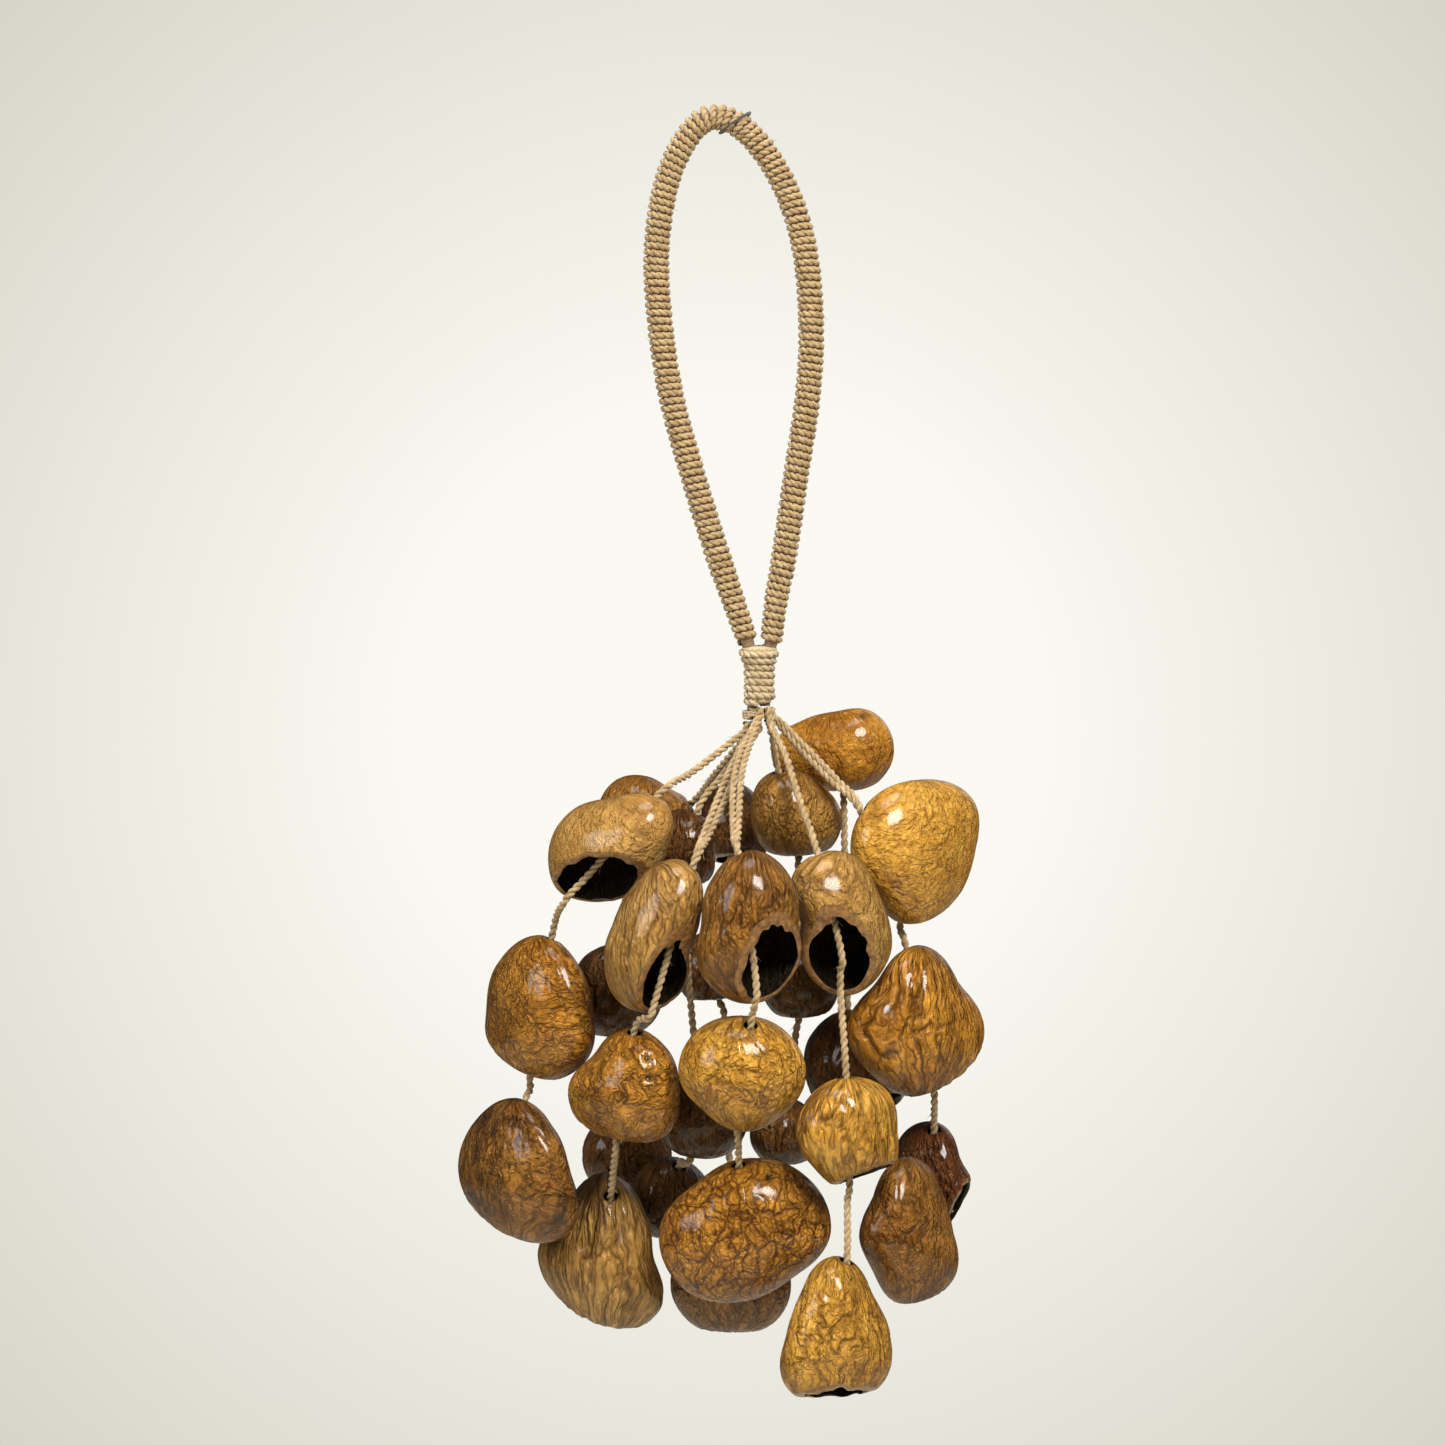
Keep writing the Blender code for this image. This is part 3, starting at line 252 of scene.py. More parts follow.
# Camera, where the photograph was taken from (metres, but the sensor in millimetres)

CAMERA_AWAY = 1.4
CAMERA_X = 0.00175
CAMERA_Z = -0.1584
VIEW_WIDTH = 0.390
SENSOR_WIDTH = 36.0

camera = bpy.data.objects.new("camera", bpy.data.cameras.new("camera"))
bpy.context.scene.collection.objects.link(camera)
bpy.context.scene.camera = camera
camera.data.sensor_width = SENSOR_WIDTH
camera.data.lens = SENSOR_WIDTH * CAMERA_AWAY / VIEW_WIDTH
camera.location = (CAMERA_X, -CAMERA_AWAY, CAMERA_Z)
camera.rotation_euler = (math.radians(90.0), 0.0, 0.0)
bpy.context.scene.view_settings.view_transform = "Standard"


# Materials

def add(tree, kind, props=None, **inputs):
    """A node with its properties, and its inputs set or linked by name (i0, i1 by number)."""
    node = tree.nodes.new("ShaderNode" + kind)
    for key, value in (props or {}).items():
        setattr(node, key, value)
    for key, value in inputs.items():
        by_number = key[0] == "i" and key[1:].isdigit()
        socket = node.inputs[int(key[1:])] if by_number else node.inputs[key.replace("_", " ")]
        if isinstance(value, bpy.types.NodeSocket):
            tree.links.new(value, socket)
        else:
            socket.default_value = value
    return node


def ramp(tree, value, low, high, start=0.0, end=1.0):
    """A value from start to end as the input goes from low to high."""
    node = add(tree, "MapRange", {"clamp": True}, Value=value, From_Min=low, From_Max=high,
               To_Min=start, To_Max=end)
    return node.outputs[0]


def mix(tree, share, a, b):
    """A colour between a and b."""
    node = tree.nodes.new("ShaderNodeMix")
    node.data_type = "RGBA"
    for socket, value in ((node.inputs[0], share), (node.inputs[6], a), (node.inputs[7], b)):
        if isinstance(value, bpy.types.NodeSocket):
            tree.links.new(value, socket)
        else:
            socket.default_value = value
    return node.outputs[2]


def times(tree, a, b):
    """The product of two values."""
    return add(tree, "Math", {"operation": "MULTIPLY"}, i0=a, i1=b).outputs[0]


def plus(tree, a, b):
    """The sum of two values."""
    return add(tree, "Math", {"operation": "ADD"}, i0=a, i1=b).outputs[0]


def scaled(tree, vector, factor, shift=(0.0, 0.0, 0.0)):
    """The vector times a factor (one number or three), moved by shift."""
    three = (factor,) * 3 if isinstance(factor, (int, float)) else factor
    return add(tree, "VectorMath", {"operation": "MULTIPLY_ADD"}, i0=vector, i1=three, i2=shift).outputs[0]


def attribute(tree, name, output="Fac"):
    """A value or vector that the mesh carries at each point."""
    return add(tree, "Attribute", {"attribute_name": name}).outputs[output]


def opaque(colour):
    """A colour as a socket takes it."""
    return (*colour, 1.0)


def new_material(name):
    """A material with its tree and its surface shader."""
    material = bpy.data.materials.new(name)
    material.use_nodes = True
    tree = material.node_tree
    return material, tree, tree.nodes["Principled BSDF"]


SCAR_COLOUR = (0.018, 0.008, 0.004)
RIM_PALE, RIM_DARK = (0.30, 0.15, 0.045), (0.12, 0.050, 0.016)
LINING_DARK, LINING_PALE = (0.004, 0.0025, 0.0015), (0.014, 0.007, 0.003)
SHELL_SHINE = {"Coat Weight": 0.45, "Coat Roughness": 0.14, "Specular IOR Level": 0.30,
               "Specular Tint": (1.0, 0.80, 0.48, 1.0)}
SHELL_RELIEF = 0.0016


def shell_material(name, seed, base, light, dark, streak, vein, wrinkle, pores, patch, rough, stretch, pitch):
    """A polished seed shell: wrinkles with painted shade in their valleys, stronger in some patches,
    branching veins, pores and dark patches; black inside.
    """
    material, tree, shader = new_material(name)
    shift = (seed * 7.3, seed * 3.1, seed * 5.7)
    grain, place = attribute(tree, "grain", "Vector"), attribute(tree, "place", "Vector")
    inside, rim = attribute(tree, "inside"), attribute(tree, "rim")
    scar, groove = attribute(tree, "scar"), attribute(tree, "groove")

    def spots(vector, scale, detail, roughness=0.5, warp=0.0):
        """Soft noise."""
        return add(tree, "TexNoise", None, Vector=vector, Scale=scale, Detail=detail,
                   Roughness=roughness, Distortion=warp).outputs[0]

    def to_edge(vector, scale):
        """How far a point is from the border of its cell."""
        return add(tree, "TexVoronoi", {"feature": "DISTANCE_TO_EDGE"}, Vector=vector, Scale=scale).outputs[0]

    def furrow(value, width):
        """How far a noise is from its middle value: 0 along winding lines, 1 on the crests between."""
        off = add(tree, "Math", {"operation": "ABSOLUTE"}, i0=plus(tree, value, -0.5)).outputs[0]
        return ramp(tree, off, 0.0, width)

    # Coordinates: plain ones, ones drawn out along the wrinkles, and both of them bent
    here = scaled(tree, place, 1.0, shift)
    along = scaled(tree, grain, (1.0, 1.0, stretch), shift)
    wander = add(tree, "TexNoise", None, Vector=here, Scale=0.15, Detail=3.0).outputs[1]
    sway = add(tree, "TexNoise", None, Vector=scaled(tree, grain, (1.0, 1.0, 0.25 + stretch), shift),
               Scale=0.19, Detail=3.0).outputs[1]
    aside = 2.0 + 6.0 * stretch
    winding = scaled(tree, sway, (aside, aside, aside * stretch * 1.4), along)
    bent = scaled(tree, wander, 7.0, scaled(tree, here, (1.0, 1.0, 0.62)))

    # Marks: streaks, wrinkles at two widths whose valleys get painted shade, a net of veins, pores and dark
    # patches
    broad = spots(here, 0.07, 3.0, 0.6)
    streaks = spots(along, 0.5, 5.0, 0.65, 0.5)
    fine = spots(winding, 2.2, 3.0, 0.6)
    crest = furrow(spots(winding, 0.62 / pitch, 2.0, 0.5), 0.085)
    crest_2 = furrow(spots(scaled(tree, winding, 1.0, (31.0, 7.0, 3.0)), 1.5 / pitch, 2.0, 0.5), 0.11)
    cells, small = to_edge(bent, 0.21), to_edge(bent, 0.46)
    veins = ramp(tree, cells, 0.0, 0.10, 1.0, 0.0)
    twigs = ramp(tree, small, 0.0, 0.09, 1.0, 0.0)
    net = add(tree, "Math", {"operation": "MAXIMUM"}, i0=veins, i1=times(tree, twigs, 0.7)).outputs[0]
    # painted shade: how strongly the wrinkle valleys are darkened, from 0.3 to 1 in soft patches
    valley_shade_strength = ramp(tree, spots(here, 0.12, 4.0, 0.6), 0.36, 0.60, 0.30, 1.0)
    pores_at = add(tree, "TexVoronoi", {"feature": "F1"}, Vector=here, Scale=0.8).outputs[0]
    pits = ramp(tree, pores_at, 0.10, 0.26, 1.0, 0.0)
    pits = times(tree, pits, ramp(tree, spots(here, 0.3, 2.0), 0.45, 0.6))
    patches = ramp(tree, spots(here, 0.11, 5.0, 0.68, 0.8), 0.60 - 0.16 * patch, 0.74 - 0.10 * patch)
    # painted shade: the wrinkle valleys, to be darkened in the colour
    valley_shade = times(tree, ramp(tree, crest, 0.0, 0.75, 1.0, 0.0), valley_shade_strength)
    valley_shade_2 = times(tree, ramp(tree, crest_2, 0.0, 0.65, 1.0, 0.0), valley_shade_strength)

    # Colour: each mark darkens what lies under it; the wrinkle valleys and the mesh's furrows and folds are
    # darkened as painted shade
    colour = mix(tree, ramp(tree, broad, 0.34, 0.66), opaque(base), opaque(light))
    dusk = ramp(tree, spots(here, 0.055, 4.0, 0.6, 0.4), 0.50, 0.66, 0.0, 0.62)
    between = [0.5 * (b + d) for b, d in zip(base, dark)]
    deep = [0.35 * c for c in dark]
    layers = [
        (dusk, 1.0, between),
        (ramp(tree, streaks, 0.44, 0.72), 0.75 * streak, dark),
        (ramp(tree, fine, 0.48, 0.70), 0.30 * streak + 0.10, dark),
        # painted shade in the wrinkle valleys
        (valley_shade, 0.92 * wrinkle, dark),
        (valley_shade_2, 0.70 * wrinkle, dark),
        (net, 0.80 * vein, dark),
        (pits, 0.75 * pores, dark),
        (patches, 0.85 * min(patch * 1.6, 1.0), deep),
        # painted shade along the mesh's furrows and folds
        (groove, 0.55, deep),
        (scar, 1.0, SCAR_COLOUR),
    ]
    for where, share, tone in layers:
        colour = mix(tree, times(tree, where, share), colour, opaque(tone))
    edge = mix(tree, ramp(tree, spots(here, 0.8, 3.0), 0.35, 0.65), opaque(RIM_PALE), opaque(RIM_DARK))
    colour = mix(tree, times(tree, rim, 0.9), colour, edge)
    mould = ramp(tree, spots(here, 0.5, 5.0, 0.7), 0.42, 0.70)
    colour = mix(tree, inside, colour, mix(tree, mould, opaque(LINING_DARK), opaque(LINING_PALE)))
    tree.links.new(colour, shader.inputs["Base Color"])
    gloss = plus(tree, ramp(tree, fine, 0.3, 0.7, rough - 0.08, rough + 0.14), times(tree, inside, 0.3))
    tree.links.new(plus(tree, gloss, times(tree, valley_shade, 0.15)), shader.inputs["Roughness"])
    for key, value in SHELL_SHINE.items():
        shader.inputs[key].default_value = value

    # Relief: the same marks, none of it on the ground rim
    height = times(tree, crest, 0.70 * wrinkle)
    reliefs = [
        (crest_2, 0.38 * wrinkle),
        (streaks, 0.30 * streak + 0.10),
        (ramp(tree, cells, 0.0, 0.30), 0.55 * vein),
        (ramp(tree, small, 0.0, 0.28), 0.35 * vein),
        (pits, -0.35 * pores),
        (fine, 0.26),
    ]
    for where, share in reliefs:
        height = plus(tree, height, times(tree, where, share))
    height = times(tree, height, add(tree, "Math", {"operation": "SUBTRACT"}, i0=1.0, i1=rim).outputs[0])
    bump = add(tree, "Bump", None, Strength=1.0, Distance=SHELL_RELIEF, Height=height)
    tree.links.new(bump.outputs[0], shader.inputs["Normal"])
    return material


def cord_material(name, pale, straw, brown):
    """Twisted plant fibre: pale straw with darker strands, matt and hairy."""
    material, tree, shader = new_material(name)
    along = attribute(tree, "grain", "Vector")
    place = scaled(tree, add(tree, "TexCoord").outputs["Object"], 1.0 / MM)
    fibres = add(tree, "TexNoise", None, Vector=along, Scale=2.2, Detail=4.0, Roughness=0.7).outputs[0]
    turns = add(tree, "TexNoise", None, Vector=place, Scale=0.30, Detail=3.0, Roughness=0.6).outputs[0]
    dirt = add(tree, "TexNoise", None, Vector=place, Scale=1.1, Detail=5.0, Roughness=0.7).outputs[0]
    colour = mix(tree, ramp(tree, turns, 0.35, 0.65), opaque(straw), opaque(pale))
    colour = mix(tree, times(tree, ramp(tree, fibres, 0.48, 0.70), 0.75), colour, opaque(brown))
    colour = mix(tree, times(tree, ramp(tree, dirt, 0.56, 0.74), 0.55), colour, opaque(brown))
    tree.links.new(colour, shader.inputs["Base Color"])
    tree.links.new(ramp(tree, fibres, 0.3, 0.7, 0.62, 0.85), shader.inputs["Roughness"])
    shader.inputs["Sheen Weight"].default_value = 0.25
    bump = add(tree, "Bump", None, Strength=0.7, Distance=0.0004, Height=fibres)
    tree.links.new(bump.outputs[0], shader.inputs["Normal"])
    return material


WRAP_CORD = cord_material("wrap_cord", (0.52, 0.365, 0.175), (0.36, 0.225, 0.085), (0.12, 0.060, 0.019))
STRING_CORD = cord_material("string_cord", (0.56, 0.40, 0.20), (0.37, 0.235, 0.09), (0.12, 0.06, 0.02))
NECK_CORD = cord_material("neck_cord", (0.60, 0.47, 0.28), (0.44, 0.31, 0.15), (0.19, 0.11, 0.045))
CORE_CORD = cord_material("core_cord", (0.30, 0.20, 0.10), (0.18, 0.11, 0.05), (0.06, 0.03, 0.012))
DARK_CORD = cord_material("dark_cord", (0.075, 0.060, 0.050), (0.040, 0.032, 0.028), (0.012, 0.010, 0.009))


# Mesh making

def piece(name, points, faces, material, body, slot, **attributes):
    """A mesh object that rides on a body, with one value or vector a point for each attribute."""
    mesh = bpy.data.meshes.new(name)
    mesh.from_pydata(points.tolist(), [], faces.tolist() if isinstance(faces, np.ndarray) else faces)
    mesh.shade_smooth()
    mesh.materials.append(material)
    for key, values in attributes.items():
        values = np.asarray(values, dtype=np.float32)
        kind = "FLOAT" if values.ndim == 1 else "FLOAT_VECTOR"
        layer = mesh.attributes.new(key, kind, "POINT")
        layer.data.foreach_set("value" if kind == "FLOAT" else "vector", values.ravel())
    obj = bpy.data.objects.new(name, mesh)
    bpy.context.scene.collection.objects.link(obj)
    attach(obj, body)
    return obj


def unit(vector):
    """The vector, one long."""
    return vector / np.linalg.norm(vector)


def lengths(line):
    """The way along the line to each of its points."""
    return np.concatenate([[0.0], np.cumsum(np.linalg.norm(np.diff(line, axis=0), axis=1))])


def grid_faces(rows, columns, first=0):
    """Quads between the rows of a grid whose columns go round."""
    i = np.arange(rows - 1)[:, None] * columns + first
    j = np.arange(columns)[None, :]
    k = (j + 1) % columns
    return np.stack([i + j, i + k, i + columns + k, i + columns + j], axis=-1).reshape(-1, 4)


CURVE_STEPS = 16


def smooth(points):
    """Points of a Catmull-Rom curve, CURVE_STEPS from each point given to the next, as rows of an array."""
    p = np.array([list(point) for point in points])
    ends = np.vstack([2.0 * p[0] - p[1], p, 2.0 * p[-1] - p[-2]])
    t = (np.arange(CURVE_STEPS) / CURVE_STEPS)[:, None]
    line = []
    for i in range(len(p) - 1):
        a, b, c, d = ends[i:i + 4]
        line.append(0.5 * (2.0 * b + (c - a) * t + (2.0 * a - 5.0 * b + 4.0 * c - d) * t * t
                           + (3.0 * b - a - 3.0 * c + d) * t * t * t))
    return np.vstack(line + [p[-1:]])


def evenly(line, step):
    """The line again, with its points a step apart, and the way along it to each."""
    along = lengths(line)
    count = max(2, int(round(along[-1] / step)))
    marks = np.linspace(0.0, along[-1], count + 1)
    return np.stack([np.interp(marks, along, line[:, k]) for k in range(3)], axis=1), marks


def frames(line):
    """Two directions square to the line at each point, carried along without twist."""
    tangent = np.gradient(line, axis=0)
    tangent /= np.linalg.norm(tangent, axis=1)[:, None]
    side = np.cross(tangent[0], [0.31, 0.87, 0.38])
    sides = []
    for t in tangent:
        side = unit(side - t * np.dot(side, t))
        sides.append(side)
    sides = np.array(sides)
    return sides, np.cross(tangent, sides)


def tube(line, radii, sides):
    """Points and faces of an open tube round the line, and the angles of its columns."""
    a, b = frames(line)
    turn = np.arange(sides) * math.tau / sides
    radii = np.broadcast_to(np.asarray(radii, dtype=float), len(line))
    ring = a[:, None, :] * np.cos(turn)[None, :, None] + b[:, None, :] * np.sin(turn)[None, :, None]
    points = line[:, None, :] + ring * radii[:, None, None]
    return points.reshape(-1, 3), grid_faces(len(line), sides), turn


PLIES = 2
PLY_SHARE = 0.56


def joined(*parts):
    """Parts, each as points, faces and grain, put together as one."""
    points, faces, grain = [], [], []
    base = 0
    for part_points, part_faces, part_grain in parts:
        points.append(part_points)
        faces.append(part_faces + base)
        grain.append(part_grain)
        base += len(part_points)
    return np.vstack(points), np.vstack(faces), np.vstack(grain)


def twisted(line, radius, pitch, sides, seed):
    """A cord of twisted plies along the line: points, faces and the grain along each ply."""
    a, b = frames(line)
    along = lengths(line)
    plies = []
    ply = radius * PLY_SHARE
    for k in range(PLIES):
        turn = along / pitch * math.tau + k * math.tau / PLIES
        swell = np.array([1.0 + 0.07 * noise.noise(Vector((s * 420.0, seed * 3.7, k * 5.1))) for s in along])
        middle = line + (a * np.cos(turn)[:, None] + b * np.sin(turn)[:, None]) * (radius - ply)
        points, faces, around = tube(middle, ply * swell, sides)
        length = np.repeat(along / MM, sides)
        angle = np.tile(around, len(line)) + np.repeat(turn, sides)
        grain = [np.cos(angle) * 1.1, np.sin(angle) * 1.1, length * 0.16 + k * 40.0 + seed * 13.0]
        plies.append((points, faces, np.stack(grain, axis=1)))
    return joined(*plies)


def knot_line(middle, forward, size):
    """An overhand knot's line round a point of a string that runs forward."""
    t = np.linspace(0.0, math.tau, 48)[:, None]
    a = unit(np.cross(forward, [0.3, 0.8, 0.5]))
    b = np.cross(forward, a)
    x = (np.sin(t) + 2.0 * np.sin(2.0 * t)) / 3.0
    y = (np.cos(t) - 2.0 * np.cos(2.0 * t)) / 3.0
    z = -np.sin(3.0 * t) / 3.0
    return middle + size * (x * a + y * b + z * forward)


# Strings: each is one limp two-ply cord from under the neck through its three shells

HAIR_RADIUS = 0.00011
HAIR_REACH = 0.0014
HAIRS_PER_STRING = 16
HAIRS_PER_SECOND = 6
GRAIN_PER_METRE = 900.0
KNOT_AFTER_HOLE = 0.0068
KNOT_SIZE = 0.0014
KNOT_CORD_RADIUS = 0.00062
STRING_SAMPLE = 0.0004
STRING_PITCH = 0.0044
SECOND_PITCH = 0.0042


def string_top(ring, degrees):
    """Where a string leaves the binding or the tie."""
    x, reach, under = {
        "neck": (NECK_X, NECK_RING, NECK_BOTTOM_Z),
        "tie": (TIE_X, TIE_RING, TIE_BOTTOM_Z),
    }[ring]
    angle = math.radians(degrees)
    return Vector((x + reach * math.cos(angle), reach * math.sin(angle), under - STRING_TOP_GAP))


def with_hairs(cord, line, count, seed, reach=HAIR_REACH):
    """The cord's points, faces and grain with loose fibres that stand off its line."""
    rng = random.Random(seed)
    fibres = []
    for _ in range(count):
        i = rng.randrange(4, len(line) - 4)
        ahead = unit(line[i + 3] - line[i - 3])
        out = np.array([rng.uniform(-1.0, 1.0) for _ in range(3)])
        out = unit(out - ahead * (out @ ahead))
        t = np.linspace(0.0, 1.0, 7)[:, None]
        hair = line[i] + out * (0.0007 + reach * t ** 1.4) + ahead * (rng.uniform(0.0015, 0.0030) * t)
        points, faces, _ = tube(hair, HAIR_RADIUS * (1.0 - 0.8 * t[:, 0]), 3)
        fibres.append((points, faces, points * GRAIN_PER_METRE))
    return joined(cord, *fibres)


def make_string(number, ring, degrees, way, nuts):
    """The cord of one strand, with a knot inside each shell; gives back its route."""
    top = string_top(ring, degrees)
    keys = [top, top - Vector((0.0, 0.0, STRAIGHT_BELOW_NECK))]
    keys += [Vector(mm(*point)) for point in way]
    entries = []
    for nut in nuts:
        entries.append(len(keys))
        keys.append(nut.entry())
        keys += [nut.middle + point for point in nut.leave]
    keys.append(keys[-1] + (nuts[-1].middle - keys[-1]).normalized() * STRING_END)
    route = smooth(keys)
    line, marks = evenly(route, STRING_SAMPLE)
    parts = [twisted(line, STRING_RADIUS, STRING_PITCH, sides=7, seed=number)]
    raw = lengths(route)
    for i in entries:
        at = min(raw[i * CURVE_STEPS] + KNOT_AFTER_HOLE, marks[-1] - 0.002)
        j = int(np.searchsorted(marks, at))
        forward = unit(line[min(j + 1, len(line) - 1)] - line[j - 1])
        points, faces, _ = tube(knot_line(line[j], forward, KNOT_SIZE), KNOT_CORD_RADIUS, 7)
        parts.append((points, faces, points * GRAIN_PER_METRE))
    points, faces, grain = with_hairs(joined(*parts), line, HAIRS_PER_STRING, number)
    body = f"strand_{number:02d}"
    cord = piece(f"cord_{number:02d}", points, faces, STRING_CORD, body, "cord", grain=grain)
    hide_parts(f"string_{number:02d}")
    return route


# Strands whose cord is doubled above the first shell, and how far aside the second one bows (metres)
DOUBLED = {2: 0.0020, 3: -0.0019, 5: 0.0021}


def second_string(number, route, nut):
    """The other half of a doubled cord, from under the neck to the first shell's hole."""
    end = int(np.argmin(np.linalg.norm(route - np.array(nut.entry()), axis=1)))
    line, marks = evenly(route[:end + 1], STRING_SAMPLE)
    bow = DOUBLED[number] * np.sin(math.pi * marks / marks[-1]) ** 0.6
    line = line + np.stack([bow, -0.3 * np.abs(bow), np.zeros_like(bow)], axis=1)
    plies = twisted(line, STRING_RADIUS * 0.92, SECOND_PITCH, sides=7, seed=number + 50)
    points, faces, grain = with_hairs(plies, line, HAIRS_PER_SECOND, number + 50)
    cord = piece(f"cord_{number:02d}_second", points, faces, STRING_CORD, f"strand_{number:02d}", "cord",
                 grain=grain)


for number, (ring, degrees, way, nuts) in enumerate(STRANDS, 1):
    route = make_string(number, ring, degrees, way, nuts)
    if number in DOUBLED:
        second_string(number, route, nuts[0])


# Handle

WRAP_STATIONS = 26
WRAP_HAIRS = 90
WRAP_HAIR_REACH = 0.0012
NECK_CORD_RADIUS = 0.00105
NECK_TURNS = 7.6
PLUG_STATIONS = 26


def leg_scale(z):
    """How thick the handle's legs are at a height, as a share of the loop."""
    share = np.clip((TAPER_START_Z - z) / (TAPER_START_Z - CROTCH_Z), 0.0, 1.0)
    return 1.0 - (1.0 - CROTCH_SCALE) * share


def wrap_handle():
    """One long cord wound round the loop in touching turns."""
    loop = smooth([(x, 0.0, z) for x, z in LOOP])
    along = lengths(loop)
    turns = int(round(along[-1] / WRAP_PITCH))
    count = turns * WRAP_STATIONS
    turn = np.linspace(0.0, turns, count + 1)
    drift = np.array([0.16 * noise.noise(Vector((t * 0.31, 4.0, 2.0))) for t in turn])
    s = np.clip((turn + drift) / turns, 0.0, 1.0) * along[-1]

    def at(marks):
        """The points of the loop that far along it."""
        return np.stack([np.interp(marks, along, loop[:, k]) for k in range(3)], axis=1)

    middle = at(s)
    forward = at(np.minimum(s + 0.0005, along[-1])) - at(np.maximum(s - 0.0005, 0.0))
    forward /= np.linalg.norm(forward, axis=1)[:, None]
    across = np.array([0.0, 1.0, 0.0])
    side = np.cross(forward, across)
    outer = CORE_RADIUS * leg_scale(middle[:, 2]) + CORE_GAP + WRAP_WALL + WRAP_RIDGE
    uneven = np.array([0.00010 * noise.noise(Vector((t * 0.55, 9.0, 1.0))) for t in turn])
    ring = outer - WRAP_PITCH / 2 + uneven
    angle = turn * math.tau
    line = middle + (side * np.cos(angle)[:, None] + across * np.sin(angle)[:, None]) * ring[:, None]
    plies = twisted(line, WRAP_PITCH * 0.51, 0.0036, sides=6, seed=21)
    points, faces, grain = with_hairs(plies, line, WRAP_HAIRS, 21, WRAP_HAIR_REACH)
    obj = piece("wrap_turns", points, faces, WRAP_CORD, "handle", "cord", grain=grain)
    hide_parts("handle_wrapping")


def waist_share(z):
    """0 at the neck's waist and below it, 1 at its top."""
    return np.clip((z - NECK_WAIST_Z) / (NECK_TOP_Z - NECK_WAIST_Z), 0.0, 1.0)


def bind_neck():
    """The uneven turns that bind both legs, over a plug of the cords inside."""
    cord = NECK_CORD_RADIUS
    widening = NECK_TOP_RADIUS - NECK_RADIUS
    t = np.linspace(0.0, 1.0, int(NECK_TURNS * 34) + 1)
    z = NECK_TOP_Z - cord - t * (NECK_TOP_Z - NECK_BOTTOM_Z - 2.0 * cord)
    share = waist_share(z)
    uneven = np.array([noise.noise(Vector((k * NECK_TURNS * 0.8, 3.0, 7.0))) for k in t])
    angle = t * NECK_TURNS * math.tau + 0.8
    tilt = 0.00055 * np.sin(angle + 0.6) * (0.4 + share)
    ring = NECK_RADIUS + widening * share - cord + 0.00022 * uneven
    rise = z + tilt + 0.00025 * uneven
    line = np.stack([NECK_X + ring * np.cos(angle), ring * np.sin(angle) * 0.96, rise], axis=1)
    plug_z = np.linspace(NECK_TOP_Z - 0.0004, NECK_BOTTOM_Z + 0.0004, PLUG_STATIONS)
    plug_radius = NECK_RADIUS + widening * waist_share(plug_z) - 1.1 * cord
    plug_radius[[0, -1]] *= 0.3
    plug_line = np.stack([np.full(PLUG_STATIONS, NECK_X), np.zeros(PLUG_STATIONS), plug_z], axis=1)
    p, f, _ = tube(plug_line, plug_radius, 20)
    plug = (p, f, p * [GRAIN_PER_METRE, GRAIN_PER_METRE, 160.0])
    points, faces, grain = joined(twisted(line, cord, 0.0040, sides=7, seed=33), plug)
    obj = piece("neck_turns", points, faces, NECK_CORD, "handle", "cord", grain=grain)
    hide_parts("neck_binding")


def tie_neck():
    """Three turns of thin cord round the left end of the core."""
    count = TIE_TURNS * 30
    t = np.linspace(0.0, 1.0, count + 1)
    angle = t * TIE_TURNS * math.tau - 1.9
    ring = TIE_RADIUS - TIE_CORD_RADIUS
    z = TIE_TOP_Z - TIE_CORD_RADIUS - t * (TIE_TOP_Z - TIE_BOTTOM_Z - 2.0 * TIE_CORD_RADIUS)
    line = np.stack([TIE_X + ring * np.cos(angle), ring * np.sin(angle), z], axis=1)
    points, faces, grain = twisted(line, TIE_CORD_RADIUS, 0.0024, sides=6, seed=41)
    obj = piece("tie_turns", points, faces, NECK_CORD, "handle", "cord", grain=grain)
    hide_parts("neck_tie")


def carried(node, name, material, scale):
    """The CAD node's own shape as a piece with a better material."""
    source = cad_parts[node]
    mesh = source.data.copy()
    mesh.materials.clear()
    mesh.materials.append(material)
    layer = mesh.attributes.new("grain", "FLOAT_VECTOR", "POINT")
    co = np.empty(len(mesh.vertices) * 3, dtype=np.float32)
    mesh.vertices.foreach_get("co", co)
    layer.data.foreach_set("vector", co * scale)
    mesh.shade_smooth()
    obj = bpy.data.objects.new(name, mesh)
    bpy.context.scene.collection.objects.link(obj)
    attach(obj, "handle")
    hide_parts(node)


wrap_handle()
bind_neck()
tie_neck()
carried("handle_core", "core_cords", CORE_CORD, 700.0)
carried("hang_thread", "top_thread", DARK_CORD, 1400.0)


# Shells

ROWS = 64
COLUMNS = 112
LINING_ROWS = 14
BAND_ROWS = (0.02, 0.3, 0.7, 0.98)
POLE = 0.02
SCAN_STEPS = 240
LUMP = 0.25
HOLE_RADIUS = 0.0015
HOLE_REACH = 0.0034
HOLE_FACES = 0.0012
SKIN_INSET = 0.00045

